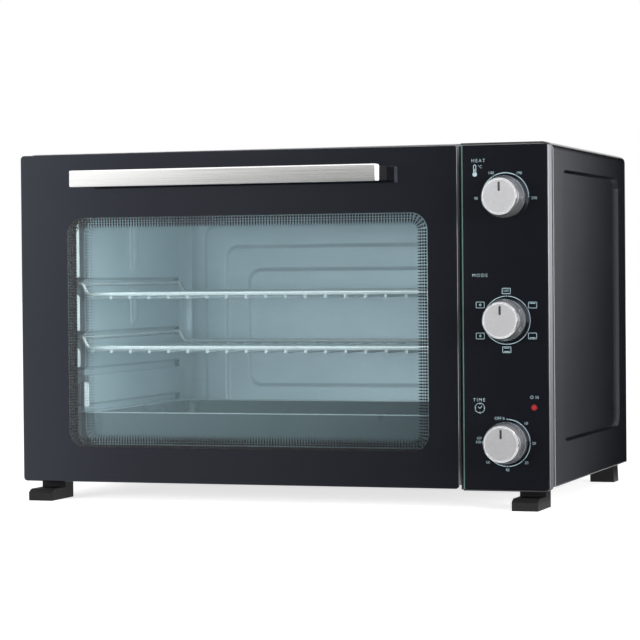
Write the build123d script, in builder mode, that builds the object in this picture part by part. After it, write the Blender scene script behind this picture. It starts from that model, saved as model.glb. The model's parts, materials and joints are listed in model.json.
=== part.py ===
from build123d import *
import os
from math import atan2, radians, tan

# A bench-top toaster oven: sheet casing, drop-down glass door, control panel with three knobs,
# oven cavity with racks and trays. Millimetres. +X right, +Y back, +Z up.
# The origin is on the table, below the middle of the whole oven.

# Sheets and gaps
SHEET = 0.6
FIT = 0.2
SLIDE_GAP = 0.4
RUN_FIT = 0.05

# Casing
BODY_WIDTH = 574.0
HOUSING_CORNER = 8.0
HOUSING_SETBACK = 20.0
FRAME_RECESS = 4.0
REAR_GAP = 42.4
ROOF_GAP = 37.0
RIM_DEPTH = 12.0
BACK_RIM = 8.0
PANEL_CORNER = 16.0
PANEL_FRONT_MARGIN = 39.0
PANEL_REAR_MARGIN = 37.0
PANEL_BOTTOM_MARGIN = 42.0
PANEL_TOP_MARGIN = 26.0
PRESS_DEPTH = 3.0
PRESS_SLOPE = 45.0
TAB = 12.0
TAB_MARGIN = 34.0
VENT_LENGTH = 44.0
VENT_WIDTH = 3.4
VENT_PITCH_X = 56.0
VENT_PITCH_Z = 9.0
VENT_COLUMNS = 3
BASE_VENT_ROWS = 5
BACK_VENT_ROWS = 6

# Feet
FOOT_LIFT = 22.0
FOOT_WIDTH = 27.0
FOOT_INSET = 10.5
TOE_HEIGHT = 12.0
TOE_REACH = 11.0
TOE_SLOPE = 7.0
FRONT_FOOT_BLOCK = 20.0
FRONT_FOOT_BACKSET = 4.0
REAR_FOOT_LENGTH = 24.0
REAR_FOOT_REACH = 5.0
REAR_FOOT_LEAN = 4.0
FOOT_EDGE = 1.2

# Oven cavity
LEFT_GAP = 53.0
RIGHT_GAP = 28.0
CAVITY_HEIGHT = 295.0
FLOOR_GAP = 13.0
CAVITY_CORNER = 12.0
MOUTH_CORNER = 6.0
MOUTH_LIP = 3.6
LIP_NOTCH = 7.5
GROOVE_DEPTH = 6.0
GROOVE_MOUTH = 9.5
GROOVE_BACK = 6.5
TRAY_RAIL = 56.0
SPARE_RAIL = 95.0
LOWER_RAIL = 133.6
UPPER_RAIL_DROP = 104.2
RIB_WIDTH = 14.0
RIB_HEIGHT = 1.2
RIB_SETBACK = 152.5
STEP_DEPTH = 2.5
STEP_CORNER = 14.0
STEP_SIDES = (30.5, 57.0, 84.0)
STEP_TOPS = (35.0, 60.0, 87.0)
STEP_BOTTOMS = (24.0, 48.0, 73.5)

# Racks and trays
RACK_BAR = 5.0
RACK_WIRE = 3.4
RACK_DROP = 11.0
RACK_LEAN = 6.0
RACK_TIGHT_BEND = 2.7
RACK_BEND = 7.0
RACK_SETBACK = 10.0
RACK_END_GAP = 15.0
WIRE_PITCH = 21.85
WIRE_MARGIN = 13.0
WELD = 0.3
TRAY_DEPTH = 30.0
TRAY_LENGTH = 284.0
TRAY_SETBACK = 6.0
TRAY_END_GAP = 13.0
TRAY_SIDE_GAP = 9.0
TRAY_END_RIM = 5.0
TRAY_TAPER = 8.0
TRAY_CORNER = 14.0
CRUMB_HEIGHT = 6.0
CRUMB_MARGIN = 6.0

# Heating rods
ROD_DIAMETER = 8.0
ROD_UPPER_DROP = 12.0
ROD_LOWER_RISE = 13.0
ROD_FRONT = 75.0
ROD_REAR = 215.0
INSULATOR_DIAMETER = 16.0
INSULATOR_LENGTH = 12.0
TERMINAL_DIAMETER = 3.0
TERMINAL_LENGTH = 9.0

# Door
GLASS_THICKNESS = 4.0
INNER_GLASS = 3.0
GLASS_CORNER = 4.0
GLASS_EDGE = 0.6
GLASS_DROP = 2.0
GLASS_TOP_GAP = 2.0
DOOR_GAP = 4.5
DOOR_FRAME_MARGIN = 7.0
DOOR_FRAME_BOTTOM = 4.0
DOOR_FRAME_DEPTH = 18.0
SIGHT_MARGIN = 3.0
SIGHT_BOTTOM = 33.0
SIGHT_TOP = 62.0
SIGHT_LIP = 4.0
SIGHT_CORNER = 16.0

# Handle
HANDLE_REACH = 38.0
HANDLE_MARGIN = 73.3
HANDLE_TALL = 17.3
HANDLE_THICK = 12.0
HANDLE_WALL = 1.5
HANDLE_EDGE = 1.8
HANDLE_DROP = 27.0
BRACKET_WIDTH = 17.0
BRACKET_TALL = 15.0
BRACKET_EDGE = 1.5
BRACKET_PLUG = 7.0

# Door hinge
PIVOT_RISE = 8.0
PIVOT_SETBACK = 10.0
PIN_DIAMETER = 4.0
EAR_NOSE = 4.0
EAR_THICK = 3.0
CHEEK_THICK = 2.5
CHEEK_NOSE = 4.5
EAR_SIDE_GAP = 0.5
HINGE_INSET = 10.0
HINGE_PLATE_WIDTH = 11.0
HINGE_PLATE_TALL = 26.0
HINGE_PLATE_THICK = 1.5
KNUCKLE_RISE = 22.0
NOTCH_ROOM = 1.5

# Control panel
BEZEL_RIM = 1.4
BEZEL_DEPTH = 14.0
BEZEL_WALL = 2.0
BEZEL_CORNER = 6.0
BEZEL_NECK = 6.0
CONTROL_WIDTH = 89.5
KNOB_TOP_MARGIN = 53.0
KNOB_BOTTOM_MARGIN = 47.2
KNOB_INSET = 42.8
BUSH_DIAMETER = 9.0
BUSH_LENGTH = 13.0
SHAFT_DIAMETER = 6.0
SHAFT_FLAT = 1.0
SHAFT_HOLE = 12.0
UNIT_SIZES = {
    "thermostat": (34.0, 30.0, 34.0),
    "function_switch": (42.0, 28.0, 42.0),
    "timer_unit": (46.0, 38.0, 40.0),
}
UNIT_FLANGE = 1.5
UNIT_EAR = 9.0
LAMP_RISE = 82.4
LAMP_INSET = 14.6
LAMP_DIAMETER = 6.8
LAMP_PROUD = 1.4
LAMP_ROUND = 1.2
LAMP_FLANGE = 10.0

# Knobs
KNOB_GAP = 1.6
KNOB_REACH = 25.5
KNOB_SKIRT = 42.0
KNOB_SKIRT_EDGE = 2.6
KNOB_CROWN = 36.4
KNOB_CROWN_EDGE = 3.2
KNOB_RIM = 1.1
KNOB_HOLLOW = 34.0
KNOB_HOLLOW_DEPTH = 12.0
KNOB_BOSS = 13.0
CAP_THICK = 1.4
CAP_SINK = 0.2
POINTER_LENGTH = 9.6
POINTER_WIDTH = 2.0
POINTER_DEPTH = 0.4
POINTER_EDGE = 2.2
SOCKET_DEPTH = 16.0

# Convection fan
FAN_SETBACK = 143.0
FAN_DROP = 44.0
FAN_DISH = 80.0
FAN_DISH_DEPTH = 22.0
FAN_DISH_FLANGE = 3.0
FAN_WHEEL = 68.0
FAN_BLADES = 10
FAN_BLADE_LENGTH = 12.0
FAN_BLADE_THICK = 1.2
FAN_HUB = 12.0
FAN_SHAFT = 5.0
FAN_HOLE = 5.0
FAN_HOLE_PITCH = 8.0
FAN_HOLE_RINGS = 4
MOTOR_STANDOFF = 6.0
MOTOR_STACK = 18.0
MOTOR_SIZE = 54.0
MOTOR_BEARING = 16.0

# Electrical fittings and fasteners
SCREW_DIAMETER = 4.0
SCREW_HEAD = 7.6
SCREW_HEAD_TALL = 2.2
SCREW_GRIP = 7.0
HEAD_ROOM = 2.0
GLAND_REACH = 8.0
GLAND_INSET = 52.0
GLAND_RISE = 36.0
GLAND_FLANGE = 24.0
GLAND_NECK = 17.0
GLAND_BORE = 7.4
TERMINAL_BLOCK = (34.0, 26.0, 18.0)
TERMINAL_SETBACK = 46.0
CUTOUT_DIAMETER = 16.0
CUTOUT_TALL = 9.0
CUTOUT_SETBACK = 51.0
HARNESS_DIAMETER = 9.0
HARNESS_BRANCH = 5.0
HARNESS_BEND = 22.0
HARNESS_SETBACK = 78.0

# Sizes that follow from the ones above: the width sets the door and the cavity, the cavity's height
# sets the casing's, and the tray's length sets the depth
DOOR_WIDTH = BODY_WIDTH - CONTROL_WIDTH - DOOR_GAP
CAVITY_WIDTH = DOOR_WIDTH - LEFT_GAP - RIGHT_GAP
CAVITY_DEPTH = TRAY_SETBACK + TRAY_LENGTH + TRAY_END_GAP
HOUSING_HEIGHT = FLOOR_GAP + CAVITY_HEIGHT + ROOF_GAP
HOUSING_DEPTH = FRAME_RECESS + SHEET + CAVITY_DEPTH + REAR_GAP
PANEL_LENGTH = HOUSING_DEPTH - PANEL_FRONT_MARGIN - PANEL_REAR_MARGIN
PANEL_HEIGHT = HOUSING_HEIGHT - PANEL_BOTTOM_MARGIN - PANEL_TOP_MARGIN
UPPER_RAIL = CAVITY_HEIGHT - UPPER_RAIL_DROP
RACK_DEPTH = CAVITY_DEPTH - RACK_SETBACK - RACK_END_GAP
WIRE_COUNT = int((CAVITY_WIDTH - 2 * WIRE_MARGIN) / WIRE_PITCH) + 1
GLASS_HEIGHT = HOUSING_HEIGHT + GLASS_DROP - GLASS_TOP_GAP
SIGHT_HEIGHT = GLASS_HEIGHT - SIGHT_BOTTOM - SIGHT_TOP
HANDLE_LENGTH = DOOR_WIDTH - 2 * HANDLE_MARGIN
HANDLE_RISE = GLASS_HEIGHT - HANDLE_DROP
KNOB_RISES = {
    "temperature": GLASS_HEIGHT - KNOB_TOP_MARGIN,
    "function": (GLASS_HEIGHT - KNOB_TOP_MARGIN + KNOB_BOTTOM_MARGIN) / 2,
    "timer": KNOB_BOTTOM_MARGIN,
}

# Places worked out from the sizes
overall_depth = HANDLE_REACH + HOUSING_SETBACK + HOUSING_DEPTH + GLAND_REACH
glass_front = HANDLE_REACH - overall_depth / 2
glass_back = glass_front + GLASS_THICKNESS
housing_front = glass_front + HOUSING_SETBACK
housing_rear = housing_front + HOUSING_DEPTH
housing_bottom = FOOT_LIFT
housing_top = housing_bottom + HOUSING_HEIGHT
side_inner = BODY_WIDTH / 2 - SHEET
sheet_edge = side_inner - FIT
frame_front = housing_front + FRAME_RECESS
frame_back = frame_front + SHEET
base_top = housing_bottom + SHEET

cavity_left = -BODY_WIDTH / 2 + LEFT_GAP
cavity_right = cavity_left + CAVITY_WIDTH
cavity_mid = (cavity_left + cavity_right) / 2
cavity_floor = housing_bottom + FLOOR_GAP
cavity_roof = cavity_floor + CAVITY_HEIGHT
cavity_back = frame_back + CAVITY_DEPTH
ledges = [cavity_floor + rise for rise in (TRAY_RAIL, SPARE_RAIL, LOWER_RAIL, UPPER_RAIL)]

glass_bottom = housing_bottom - GLASS_DROP
glass_top = glass_bottom + GLASS_HEIGHT
door_left = -BODY_WIDTH / 2
door_right = door_left + DOOR_WIDTH
door_mid = (door_left + door_right) / 2
door_back = glass_back + DOOR_FRAME_DEPTH
door_frame_left = door_left + DOOR_FRAME_MARGIN
door_frame_right = door_right - DOOR_FRAME_MARGIN
door_frame_bottom = glass_bottom + DOOR_FRAME_BOTTOM
door_frame_top = glass_top - DOOR_FRAME_MARGIN
panel_left = door_right + DOOR_GAP
panel_right = BODY_WIDTH / 2 - BEZEL_RIM
bezel_floor = glass_back + BEZEL_WALL

knob_x = BODY_WIDTH / 2 - BEZEL_RIM - KNOB_INSET
lamp_x = BODY_WIDTH / 2 - BEZEL_RIM - LAMP_INSET
lamp_z = glass_bottom + LAMP_RISE
knob_z = {dial: glass_bottom + rise for dial, rise in KNOB_RISES.items()}
dial_of_unit = {"thermostat": "temperature", "function_switch": "function", "timer_unit": "timer"}

pivot_y = glass_front + PIVOT_SETBACK
pivot_z = glass_bottom + PIVOT_RISE
hinge_x = (door_frame_left + HINGE_INSET, door_frame_right - HINGE_INSET)
handle_z = glass_bottom + HANDLE_RISE
handle_front = glass_front - HANDLE_REACH
handle_back = handle_front + HANDLE_THICK
bracket_x = [door_mid + side * (HANDLE_LENGTH - BRACKET_WIDTH) / 2 for side in (-1, 1)]

rod_z = {"upper": cavity_roof - ROD_UPPER_DROP, "lower": cavity_floor + ROD_LOWER_RISE}
rod_y = {"front": frame_back + ROD_FRONT, "rear": frame_back + ROD_REAR}
wall_out = {-1: cavity_left - SHEET, 1: cavity_right + SHEET}
fan_y = frame_back + FAN_SETBACK
fan_z = cavity_roof - FAN_DROP
dish_out = wall_out[1] + FAN_DISH_DEPTH
motor_in = dish_out + MOTOR_STANDOFF
motor_out = motor_in + MOTOR_STACK
cutout_y = cavity_back - CUTOUT_SETBACK
gland_x = side_inner - GLAND_INSET
gland_z = housing_bottom + GLAND_RISE

foot_x = BODY_WIDTH / 2 - FOOT_INSET - FOOT_WIDTH / 2
front_foot_front = housing_front + FRONT_FOOT_BACKSET
front_foot_back = front_foot_front + FRONT_FOOT_BLOCK
rear_foot_back = housing_rear - SHEET
rear_foot_front = rear_foot_back - REAR_FOOT_LENGTH
foot_screw_y = ((front_foot_front + front_foot_back) / 2, (rear_foot_front + rear_foot_back) / 2)
tab_z = [
    housing_bottom + TAB_MARGIN,
    (housing_bottom + housing_top) / 2,
    housing_top - TAB_MARGIN,
]
tab_x = side_inner - TAB / 2
screw_radius = SCREW_DIAMETER / 2
screw_hole = screw_radius + FIT
screw_thread = screw_radius + RUN_FIT

os.makedirs("parts", exist_ok=True)


def keep(piece, name):
    """Label a finished piece and write it to its own file."""
    piece.part.label = name
    export_step(piece.part, f"parts/{name}.step")


def facing(y):
    """A plane that faces the front at depth y, with X across and Z up."""
    return Plane.XZ.offset(-y)


def block(x0, x1, y0, y1, z0, z1, mode=Mode.ADD):
    """A box between two corners."""
    with Locations(((x0 + x1) / 2, (y0 + y1) / 2, (z0 + z1) / 2)):
        Box(abs(x1 - x0), abs(y1 - y0), abs(z1 - z0), mode=mode)


def rod_x(x0, x1, y, z, diameter, mode=Mode.ADD):
    """A round bar along X."""
    with Locations(((x0 + x1) / 2, y, z)):
        Cylinder(diameter / 2, abs(x1 - x0), rotation=(0, 90, 0), mode=mode)


def rod_y_axis(x, y0, y1, z, diameter, mode=Mode.ADD):
    """A round bar along Y."""
    with Locations((x, (y0 + y1) / 2, z)):
        Cylinder(diameter / 2, abs(y1 - y0), rotation=(90, 0, 0), mode=mode)


def rod_up(x, y, z0, z1, diameter, mode=Mode.ADD):
    """A round bar along Z."""
    with Locations((x, y, (z0 + z1) / 2)):
        Cylinder(diameter / 2, z1 - z0, mode=mode)


def arched_plate(half_width, bottom, top, corner, y0, y1, mode=Mode.ADD):
    """An upright plate whose two top corners are round."""
    with BuildSketch(facing(y0)) as outline:
        with Locations((0, (bottom + top) / 2)):
            Rectangle(2 * half_width, top - bottom)
        fillet(outline.vertices().group_by(Axis.Y)[-1], corner)
    extrude(outline.sketch, amount=y0 - y1, mode=mode)


def upright_plate(x0, x1, z0, z1, corner, y0, y1, mode=Mode.ADD):
    """An upright plate with four round corners."""
    with BuildSketch(facing(y0)) as outline:
        with Locations(((x0 + x1) / 2, (z0 + z1) / 2)):
            RectangleRounded(x1 - x0, z1 - z0, corner)
    extrude(outline.sketch, amount=y0 - y1, mode=mode)


def vent_rows(plane, centres, rows):
    """Rows of narrow slots cut through the sheet that the plane lies on."""
    with BuildSketch(plane) as slots:
        with Locations(*centres):
            with GridLocations(VENT_PITCH_X, VENT_PITCH_Z, VENT_COLUMNS, rows):
                SlotOverall(VENT_LENGTH, VENT_WIDTH)
    extrude(slots.sketch, amount=SHEET, both=True, mode=Mode.SUBTRACT)


# Outer housing: top and both sides in one folded sheet, with a pressed panel in each side
with BuildPart() as outer_housing:
    arched_plate(BODY_WIDTH / 2, housing_bottom, housing_top, HOUSING_CORNER, housing_front, housing_rear)
    arched_plate(
        side_inner, housing_bottom - SHEET, housing_top - SHEET, HOUSING_CORNER - SHEET,
        housing_front - SHEET, housing_rear + SHEET, mode=Mode.SUBTRACT,
    )
    panel_y = housing_front + PANEL_FRONT_MARGIN + PANEL_LENGTH / 2
    panel_z = housing_bottom + PANEL_BOTTOM_MARGIN + PANEL_HEIGHT / 2
    for side in (-1, 1):
        skin = Plane((side * BODY_WIDTH / 2, panel_y, panel_z), x_dir=(0, -side, 0), z_dir=(-side, 0, 0))
        with BuildSketch(skin):
            RectangleRounded(PANEL_LENGTH, PANEL_HEIGHT, PANEL_CORNER)
        extrude(amount=PRESS_DEPTH + SHEET, taper=PRESS_SLOPE)
        with BuildSketch(skin):
            RectangleRounded(PANEL_LENGTH - SHEET, PANEL_HEIGHT - SHEET, PANEL_CORNER - SHEET / 2)
        extrude(amount=PRESS_DEPTH, taper=PRESS_SLOPE, mode=Mode.SUBTRACT)
        for z in tab_z:
            block(
                side * (side_inner - TAB), side * side_inner,
                housing_rear - 2 * SHEET, housing_rear - SHEET, z - TAB / 2, z + TAB / 2,
            )
            rod_y_axis(
                side * tab_x, housing_rear - 3 * SHEET, housing_rear, z, 2 * screw_thread, mode=Mode.SUBTRACT,
            )
keep(outer_housing, "outer_housing")

# Base panel: floor of the casing, with upturned sides, vents and the holes for the feet
with BuildPart() as base_panel:
    block(-sheet_edge, sheet_edge, frame_front, housing_rear - SHEET, housing_bottom, base_top)
    for side in (-1, 1):
        block(
            side * (sheet_edge - SHEET), side * sheet_edge,
            frame_back + RIM_DEPTH + FIT, housing_rear - BACK_RIM - FIT, base_top, base_top + RIM_DEPTH,
        )
        for y in foot_screw_y:
            rod_up(
                side * foot_x, y, housing_bottom - SHEET, base_top + SHEET,
                2 * screw_thread, mode=Mode.SUBTRACT,
            )
    vent_rows(
        Plane.XY.offset(housing_bottom + SHEET / 2),
        [(cavity_mid, rod_y["front"]), (cavity_mid, rod_y["rear"])], BASE_VENT_ROWS,
    )
keep(base_panel, "base_panel")

# Back panel: a pressed lid with a rim, vents, screw holes and the hole for the cord gland
with BuildPart() as back_panel:
    panel_top = housing_top - SHEET - FIT
    arched_plate(
        sheet_edge, base_top, panel_top, HOUSING_CORNER - SHEET,
        housing_rear - SHEET, housing_rear,
    )
    for rim_z in (base_top, panel_top - SHEET):
        block(
            -sheet_edge + HOUSING_CORNER, sheet_edge - HOUSING_CORNER,
            housing_rear - BACK_RIM, housing_rear - SHEET, rim_z, rim_z + SHEET,
        )
    for side in (-1, 1):
        for z in tab_z:
            rod_y_axis(
                side * tab_x, housing_rear - 2 * SHEET, housing_rear + SHEET,
                z, 2 * screw_hole, mode=Mode.SUBTRACT,
            )
    vent_rows(
        facing(housing_rear - SHEET / 2),
        [(cavity_mid, housing_top - 2 * TAB_MARGIN), (cavity_mid, housing_bottom + 2 * TAB_MARGIN)],
        BACK_VENT_ROWS,
    )
    rod_y_axis(
        gland_x, housing_rear - 2 * SHEET, housing_rear + SHEET,
        gland_z, GLAND_NECK + FIT, mode=Mode.SUBTRACT,
    )
keep(back_panel, "back_panel")

# Front frame: the plate behind the door and the panel, with the oven's mouth and the control holes
frame_top = housing_top - SHEET - FIT
hinge_screw_z = pivot_z + HINGE_PLATE_TALL - 2 * EAR_NOSE
with BuildPart() as front_frame:
    arched_plate(sheet_edge, base_top, frame_top, HOUSING_CORNER - SHEET, frame_front, frame_back)
    block(
        -sheet_edge + HOUSING_CORNER, sheet_edge - HOUSING_CORNER,
        frame_back, frame_back + RIM_DEPTH, frame_top - SHEET, frame_top,
    )
    for side in (-1, 1):
        block(
            side * (sheet_edge - SHEET), side * sheet_edge,
            frame_back, frame_back + RIM_DEPTH, base_top, frame_top - HOUSING_CORNER,
        )
    upright_plate(
        cavity_left + MOUTH_LIP, cavity_right - MOUTH_LIP, cavity_floor, cavity_roof, MOUTH_CORNER,
        frame_front - SHEET, frame_back + SHEET, mode=Mode.SUBTRACT,
    )
    for z in ledges:
        block(
            cavity_left, cavity_right, frame_front - SHEET, frame_back + SHEET,
            z - LIP_NOTCH, z + GROOVE_MOUTH, mode=Mode.SUBTRACT,
        )
        block(
            cavity_left - GROOVE_DEPTH, cavity_right + GROOVE_DEPTH,
            frame_front - SHEET, frame_back + SHEET, z, z + GROOVE_MOUTH, mode=Mode.SUBTRACT,
        )
    for unit, (unit_width, unit_depth, unit_tall) in UNIT_SIZES.items():
        z = knob_z[dial_of_unit[unit]]
        rod_y_axis(
            knob_x, frame_front - SHEET, frame_back + SHEET, z, BUSH_DIAMETER + 2 * FIT, mode=Mode.SUBTRACT,
        )
        for side in (-1, 1):
            rod_y_axis(
                knob_x, frame_front - SHEET, frame_back + SHEET,
                z + side * (unit_tall + UNIT_EAR) / 2, 2 * screw_hole, mode=Mode.SUBTRACT,
            )
    for x in hinge_x:
        rod_y_axis(
            x, frame_front - SHEET, frame_back + SHEET, hinge_screw_z, 2 * screw_thread, mode=Mode.SUBTRACT,
        )
keep(front_frame, "front_frame")


def wall_outline(face, outward):
    """Section of a side wall: up its inner face with the rail grooves, then down its outer face."""
    deep = face + outward * GROOVE_DEPTH
    skin = outward * SHEET
    inner = [(face, cavity_floor)]
    outer = [(face + skin, cavity_floor)]
    for ledge in ledges:
        inner += [
            (face, ledge),
            (deep, ledge),
            (deep, ledge + GROOVE_BACK),
            (face, ledge + GROOVE_MOUTH),
        ]
        outer += [
            (face + skin, ledge - SHEET),
            (deep + skin, ledge - SHEET),
            (deep + skin, ledge + GROOVE_BACK + SHEET / 2),
            (face + skin, ledge + GROOVE_MOUTH + SHEET),
        ]
    inner.append((face, cavity_roof))
    outer.append((face + skin, cavity_roof))
    return inner + outer[::-1]


def side_wall(face, outward):
    """A cavity side wall with its rails, its upright rib and the holes for the heating rods."""
    with BuildSketch(facing(frame_back)) as section:
        with BuildLine():
            Polyline(*wall_outline(face, outward), close=True)
        make_face()
    extrude(section.sketch, amount=frame_back - (cavity_back - CAVITY_CORNER))
    rib_y = frame_back + RIB_SETBACK
    bounds = [cavity_floor + ROD_LOWER_RISE + INSULATOR_DIAMETER, *ledges, cavity_roof - ROD_UPPER_DROP]
    for low, high in zip(bounds[2:-1], bounds[3:]):
        block(
            face, face - outward * RIB_HEIGHT,
            rib_y - RIB_WIDTH / 2, rib_y + RIB_WIDTH / 2, low + 2 * GROOVE_MOUTH, high - GROOVE_MOUTH,
        )
    for z in rod_z.values():
        for y in rod_y.values():
            rod_x(
                face - 2 * outward * SHEET, face + 2 * outward * SHEET,
                y, z, ROD_DIAMETER + 2 * FIT, mode=Mode.SUBTRACT,
            )


# Cavity walls, roof, floor and back
with BuildPart() as cavity_left_wall:
    side_wall(cavity_left, -1)
keep(cavity_left_wall, "cavity_left_wall")

with BuildPart() as cavity_right_wall:
    side_wall(cavity_right, 1)
    with BuildSketch(Plane.YZ.offset(cavity_right - SHEET)):
        with Locations((fan_y, fan_z)):
            Circle(FAN_HOLE / 2)
            for ring in range(1, FAN_HOLE_RINGS + 1):
                with PolarLocations(ring * FAN_HOLE_PITCH, 6 * ring):
                    Circle(FAN_HOLE / 2)
    extrude(amount=3 * SHEET, mode=Mode.SUBTRACT)
keep(cavity_right_wall, "cavity_right_wall")

with BuildPart() as cavity_roof_sheet:
    block(wall_out[-1], wall_out[1], frame_back, cavity_back + SHEET, cavity_roof, cavity_roof + SHEET)
keep(cavity_roof_sheet, "cavity_roof")

with BuildPart() as cavity_floor_sheet:
    block(wall_out[-1], wall_out[1], frame_back, cavity_back + SHEET, cavity_floor - SHEET, cavity_floor)
keep(cavity_floor_sheet, "cavity_floor")


def pressed_step(side_margin, top_margin, bottom_margin, y_from, y_to):
    """Press a round-cornered field of the back wall from one depth to another."""
    x0, x1 = cavity_left + side_margin, cavity_right - side_margin
    z0, z1 = cavity_floor + bottom_margin, cavity_roof - top_margin
    near, far = min(y_from, y_to), max(y_from, y_to)
    upright_plate(x0, x1, z0, z1, STEP_CORNER, near, far + SHEET)
    inner = (x0 + SHEET, x1 - SHEET, z0 + SHEET, z1 - SHEET, STEP_CORNER - SHEET)
    if y_to > y_from:
        upright_plate(*inner, near, far, mode=Mode.SUBTRACT)
    else:
        upright_plate(*inner, near + SHEET, far + SHEET, mode=Mode.SUBTRACT)


with BuildPart() as cavity_back_wall:
    with BuildSketch(Plane.XY.offset(cavity_floor)):
        with BuildLine():
            corner_y = cavity_back - CAVITY_CORNER
            left_run = cavity_left + CAVITY_CORNER
            right_run = cavity_right - CAVITY_CORNER
            outer_corner = CAVITY_CORNER + SHEET
            RadiusArc((cavity_left, corner_y), (left_run, cavity_back), CAVITY_CORNER)
            Line((left_run, cavity_back), (right_run, cavity_back))
            RadiusArc((right_run, cavity_back), (cavity_right, corner_y), CAVITY_CORNER)
            Line((cavity_right, corner_y), (wall_out[1], corner_y))
            RadiusArc((wall_out[1], corner_y), (right_run, cavity_back + SHEET), -outer_corner)
            Line((right_run, cavity_back + SHEET), (left_run, cavity_back + SHEET))
            RadiusArc((left_run, cavity_back + SHEET), (wall_out[-1], corner_y), -outer_corner)
            Line((wall_out[-1], corner_y), (cavity_left, corner_y))
        make_face()
    extrude(amount=CAVITY_HEIGHT)
    depths = (cavity_back, cavity_back - STEP_DEPTH, cavity_back, cavity_back + STEP_DEPTH)
    for margins, y_from, y_to in zip(zip(STEP_SIDES, STEP_TOPS, STEP_BOTTOMS), depths, depths[1:]):
        pressed_step(*margins, y_from, y_to)
keep(cavity_back_wall, "cavity_back_wall")

# Heating rods and the insulators that carry them outside the cavity walls
for level, z in rod_z.items():
    for row, y in rod_y.items():
        with BuildPart() as heater:
            reach = INSULATOR_LENGTH + FIT
            rod_x(wall_out[-1] - reach, wall_out[1] + reach, y, z, ROD_DIAMETER)
            rod_x(
                wall_out[-1] - reach - TERMINAL_LENGTH, wall_out[1] + reach + TERMINAL_LENGTH,
                y, z, TERMINAL_DIAMETER,
            )
        keep(heater, f"{level}_{row}_heater")

with BuildPart() as heater_insulators:
    for side, wall in wall_out.items():
        for z in rod_z.values():
            for y in rod_y.values():
                rod_x(wall, wall + side * INSULATOR_LENGTH, y, z, INSULATOR_DIAMETER)
    for z in rod_z.values():
        for y in rod_y.values():
            rod_x(
                wall_out[-1] - 2 * INSULATOR_LENGTH, wall_out[1] + 2 * INSULATOR_LENGTH,
                y, z, ROD_DIAMETER + 2 * RUN_FIT, mode=Mode.SUBTRACT,
            )
keep(heater_insulators, "heater_insulators")

# Convection fan: dish on the right wall, wheel and shaft, motor on standoffs
with BuildPart() as fan_housing:
    rod_x(wall_out[1], dish_out, fan_y, fan_z, FAN_DISH)
    rod_x(wall_out[1], wall_out[1] + SHEET, fan_y, fan_z, FAN_DISH + 2 * FAN_DISH_FLANGE)
    rod_x(wall_out[1] - SHEET, dish_out - SHEET, fan_y, fan_z, FAN_DISH - 2 * SHEET, mode=Mode.SUBTRACT)
    rod_x(dish_out - 2 * SHEET, dish_out + SHEET, fan_y, fan_z, FAN_SHAFT + 2 * HEAD_ROOM, mode=Mode.SUBTRACT)
keep(fan_housing, "fan_housing")

wheel_in = wall_out[1] + 2 * SHEET
wheel_out = wheel_in + FAN_BLADE_LENGTH
with BuildPart() as fan_wheel:
    rod_x(wheel_out, wheel_out + SHEET, fan_y, fan_z, FAN_WHEEL)
    rod_x(wheel_in, wheel_out + SHEET, fan_y, fan_z, FAN_HUB)
    with BuildSketch(Plane.YZ.offset(wheel_in)):
        with Locations((fan_y, fan_z)):
            with PolarLocations((FAN_WHEEL + FAN_HUB) / 4 - FIT, FAN_BLADES):
                Rectangle((FAN_WHEEL - FAN_HUB) / 2, FAN_BLADE_THICK)
    extrude(amount=FAN_BLADE_LENGTH)
    rod_x(wheel_in - SHEET, wheel_out + 2 * SHEET, fan_y, fan_z, FAN_SHAFT, mode=Mode.SUBTRACT)
keep(fan_wheel, "fan_wheel")

with BuildPart() as fan_shaft:
    rod_x(wheel_in, motor_out + MOTOR_STANDOFF, fan_y, fan_z, FAN_SHAFT)
keep(fan_shaft, "fan_shaft")

with BuildPart() as fan_motor:
    half_motor = MOTOR_SIZE / 2
    block(motor_in, motor_out, fan_y - half_motor, fan_y + half_motor, fan_z - half_motor, fan_z + half_motor)
    rod_x(motor_in - MOTOR_STANDOFF / 2, motor_out + MOTOR_STANDOFF + SHEET, fan_y, fan_z, MOTOR_BEARING)
    coil_low = fan_z - half_motor - MOTOR_BEARING / 2
    block(
        motor_in + 2 * SHEET, motor_out + MOTOR_STANDOFF,
        fan_y - MOTOR_BEARING, fan_y + MOTOR_BEARING, coil_low, fan_z - half_motor + 2 * SHEET,
    )
    for side_y in (-1, 1):
        for side_z in (-1, 1):
            post = half_motor - MOTOR_STANDOFF
            rod_x(dish_out, motor_in, fan_y + side_y * post, fan_z + side_z * post, MOTOR_STANDOFF)
    rod_x(
        dish_out, motor_out + MOTOR_STANDOFF, fan_y, fan_z, FAN_SHAFT + 2 * RUN_FIT, mode=Mode.SUBTRACT,
    )
keep(fan_motor, "fan_motor")

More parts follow.
